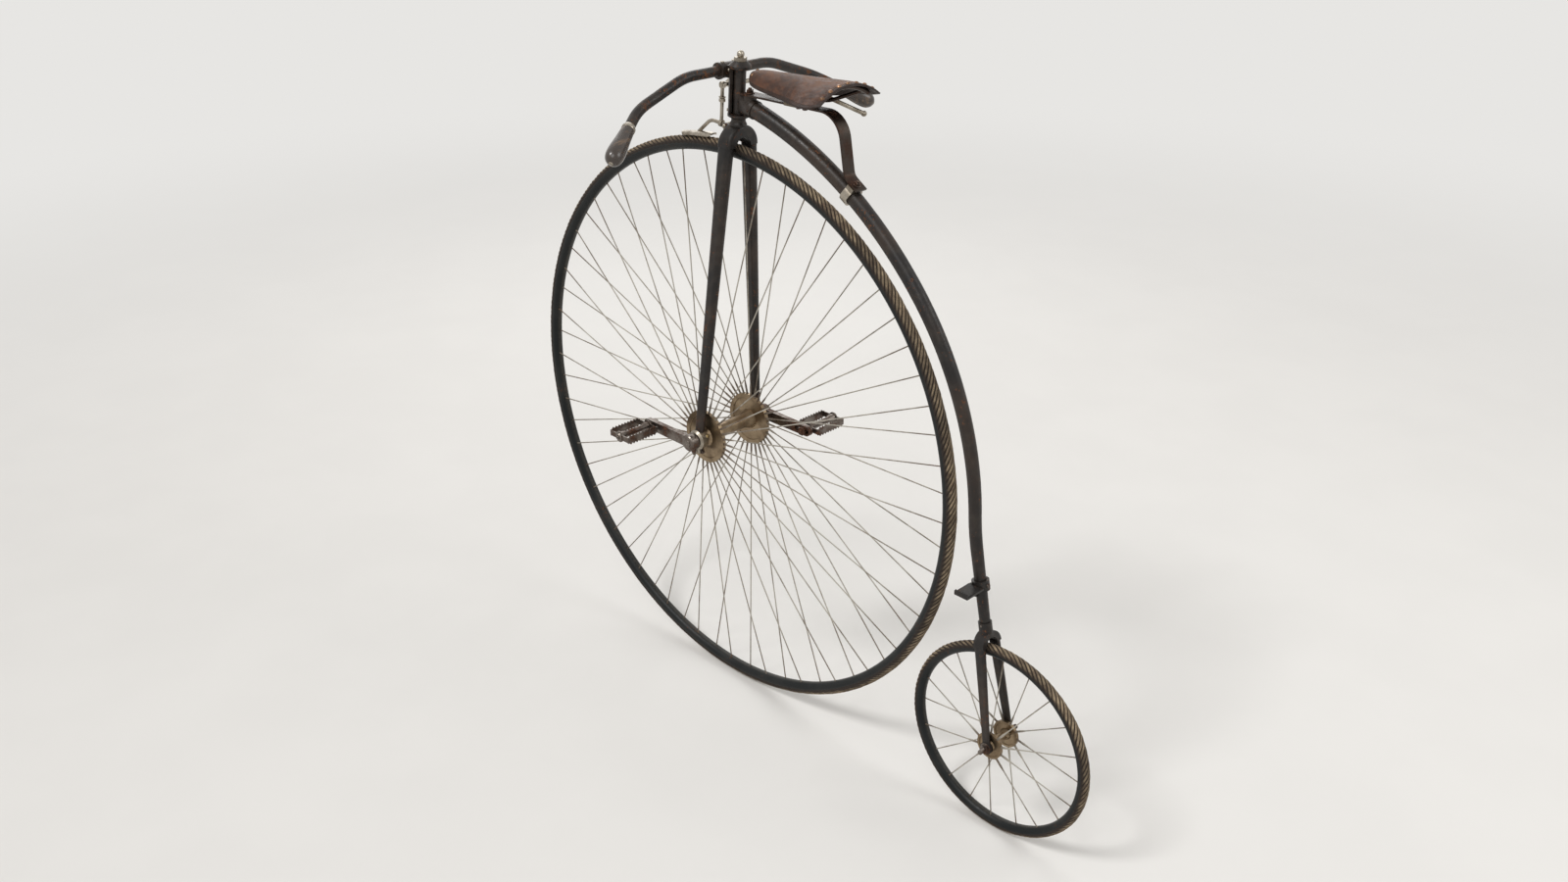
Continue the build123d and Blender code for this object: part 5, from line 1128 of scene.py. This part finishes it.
def aimed(name, data, offset, target):
    """Object at an offset from a target, looking at it."""
    holder = bpy.data.objects.new(name, data)
    bpy.context.scene.collection.objects.link(holder)
    holder.location = target + offset
    holder.rotation_mode = "QUATERNION"
    holder.rotation_quaternion = (-offset).to_track_quat("-Z", "Y")
    return holder


def hang_lamps(settings):
    """Broad main light and large soft lamps, aimed at the object's middle."""
    target = (CAD_BOX[0] + CAD_BOX[1]) / 2
    key = bpy.data.lights.new("key_light", "SUN")
    key.energy = settings.key
    key.angle = settings.key_angle
    aimed("key_light", key, Vector(KEY_FROM), target)
    for name, offset, size in LAMPS:
        lamp = bpy.data.lights.new(name, "AREA")
        lamp.energy = settings.fill
        lamp.shape = "DISK"
        lamp.size = size
        aimed(name, lamp, Vector(offset), target)


def place_camera(settings):
    """Camera at the photograph's viewing angle, from behind, the left and above."""
    camera = bpy.data.cameras.new("camera")
    camera.lens = settings.lens
    camera.sensor_width = 36.0
    target = (CAD_BOX[0] + CAD_BOX[1]) / 2 - Vector((0, 0, settings.target_drop))
    back = Vector((
        math.sin(settings.azimuth) * math.cos(settings.elevation),
        -math.cos(settings.azimuth) * math.cos(settings.elevation),
        math.sin(settings.elevation)))
    bpy.context.scene.camera = aimed("camera", camera, back * settings.distance, target)


# Operators

class HIGHWHEEL_OT_finishes(bpy.types.Operator):
    """Make the finishes and give every carried-over node its own"""
    bl_idname = "highwheel.finishes"
    bl_label = "Finishes"

    def execute(self, context):
        FINISHES.update(all_finishes(context.scene.highwheel_finish))
        for finish, nodes in NODE_FINISHES.items():
            for node in nodes:
                target = NODES[node]
                if not target.material_slots:
                    target.data.materials.append(FINISHES[finish])
                for slot in target.material_slots:
                    slot.material = FINISHES[finish]
                smooth_seams(target)
        return {"FINISHED"}


class HIGHWHEEL_OT_tyres(bpy.types.Operator):
    """Build both ribbed tyres"""
    bl_idname = "highwheel.tyres"
    bl_label = "Tyres"

    def execute(self, context):
        for wheel in WHEELS:
            ribbed_tyre(wheel, context.scene.highwheel_tyres)
        return {"FINISHED"}


class HIGHWHEEL_OT_rims(bpy.types.Operator):
    """Build both rims"""
    bl_idname = "highwheel.rims"
    bl_label = "Rims"

    def execute(self, context):
        for wheel in WHEELS:
            trough_rim(wheel, context.scene.highwheel_tyres)
        return {"FINISHED"}


class HIGHWHEEL_OT_spokes(bpy.types.Operator):
    """Build the spokes of both wheels"""
    bl_idname = "highwheel.spokes"
    bl_label = "Spokes"

    def execute(self, context):
        for wheel in WHEELS:
            direct_spokes(wheel, context.scene.highwheel_spokes, context.scene.highwheel_tyres)
        return {"FINISHED"}


class HIGHWHEEL_OT_saddle(bpy.types.Operator):
    """Build the saddle's leather and its rivets"""
    bl_idname = "highwheel.saddle"
    bl_label = "Saddle"

    def execute(self, context):
        settings = context.scene.highwheel_saddle
        make_piece("saddle_hide", hide(settings.thickness), "frame", "leather",
                   ["saddle_leather"], 180)
        make_piece("saddle_rivets", saddle_rivets(settings), "frame", "copper")
        return {"FINISHED"}


FITTINGS = [              # name, function that draws it, body, finish, slot
    ("steering_fittings", steering_fittings, "steering", "nickel", "nickel"),
    ("grip_fittings", grip_fittings, "steering", "nickel", "nickel"),
    ("bearing_bolts", bearing_bolts, "steering", "steel", "steel"),
    ("oiler_lids", oiler_lids, "steering", "brass", "gunmetal"),
    ("crank_cotters", crank_cotters, "front_wheel", "steel", "steel"),
    ("frame_fittings", frame_fittings, "frame", "steel", "steel"),
]


class HIGHWHEEL_OT_fittings(bpy.types.Operator):
    """Build the bolts, nuts, rivets and screws"""
    bl_idname = "highwheel.fittings"
    bl_label = "Fittings"

    def execute(self, context):
        for name, draw, body, finish, slot in FITTINGS:
            shape = Shape()
            draw(shape)
            make_piece(name, shape, body, finish)
        for side, base in CRANKS.items():
            shape = Shape()
            pedal_rivets(shape, base)
            make_piece("pedal_rivets_" + side, shape, "pedal_" + side, "steel")
        return {"FINISHED"}


class HIGHWHEEL_OT_stage(bpy.types.Operator):
    """Set the floor, the lamps, the world and the camera"""
    bl_idname = "highwheel.stage"
    bl_label = "Stage"

    def execute(self, context):
        settings = context.scene.highwheel_stage
        lay_floor(settings)
        light_world(settings)
        hang_lamps(settings)
        place_camera(settings)
        context.scene.view_settings.view_transform = "Standard"
        return {"FINISHED"}


# Registration

OPERATORS = [
    HIGHWHEEL_OT_finishes,
    HIGHWHEEL_OT_tyres,
    HIGHWHEEL_OT_rims,
    HIGHWHEEL_OT_spokes,
    HIGHWHEEL_OT_saddle,
    HIGHWHEEL_OT_fittings,
    HIGHWHEEL_OT_stage,
]


class HIGHWHEEL_PT_panel(bpy.types.Panel):
    """Lists the steps that dress the bicycle"""
    bl_label = "High wheel"
    bl_idname = "HIGHWHEEL_PT_panel"
    bl_space_type = "VIEW_3D"
    bl_region_type = "UI"
    bl_category = "High wheel"

    def draw(self, context):
        for operator in OPERATORS:
            self.layout.operator(operator.bl_idname)
        for group, settings in GROUPS.items():
            box = self.layout.box()
            for name in settings.__annotations__:
                box.prop(getattr(context.scene, group), name)


def register():
    for group, settings in GROUPS.items():
        bpy.utils.register_class(settings)
        setattr(bpy.types.Scene, group, PointerProperty(type=settings))
    for operator in OPERATORS:
        bpy.utils.register_class(operator)
    bpy.utils.register_class(HIGHWHEEL_PT_panel)


def unregister():
    bpy.utils.unregister_class(HIGHWHEEL_PT_panel)
    for operator in reversed(OPERATORS):
        bpy.utils.unregister_class(operator)
    for group, settings in GROUPS.items():
        delattr(bpy.types.Scene, group)
        bpy.utils.unregister_class(settings)


def main():
    register()
    bpy.ops.highwheel.finishes()
    bpy.ops.highwheel.tyres()
    bpy.ops.highwheel.rims()
    bpy.ops.highwheel.spokes()
    bpy.ops.highwheel.saddle()
    bpy.ops.highwheel.fittings()
    bpy.ops.highwheel.stage()


if __name__ == "__main__":
    main()
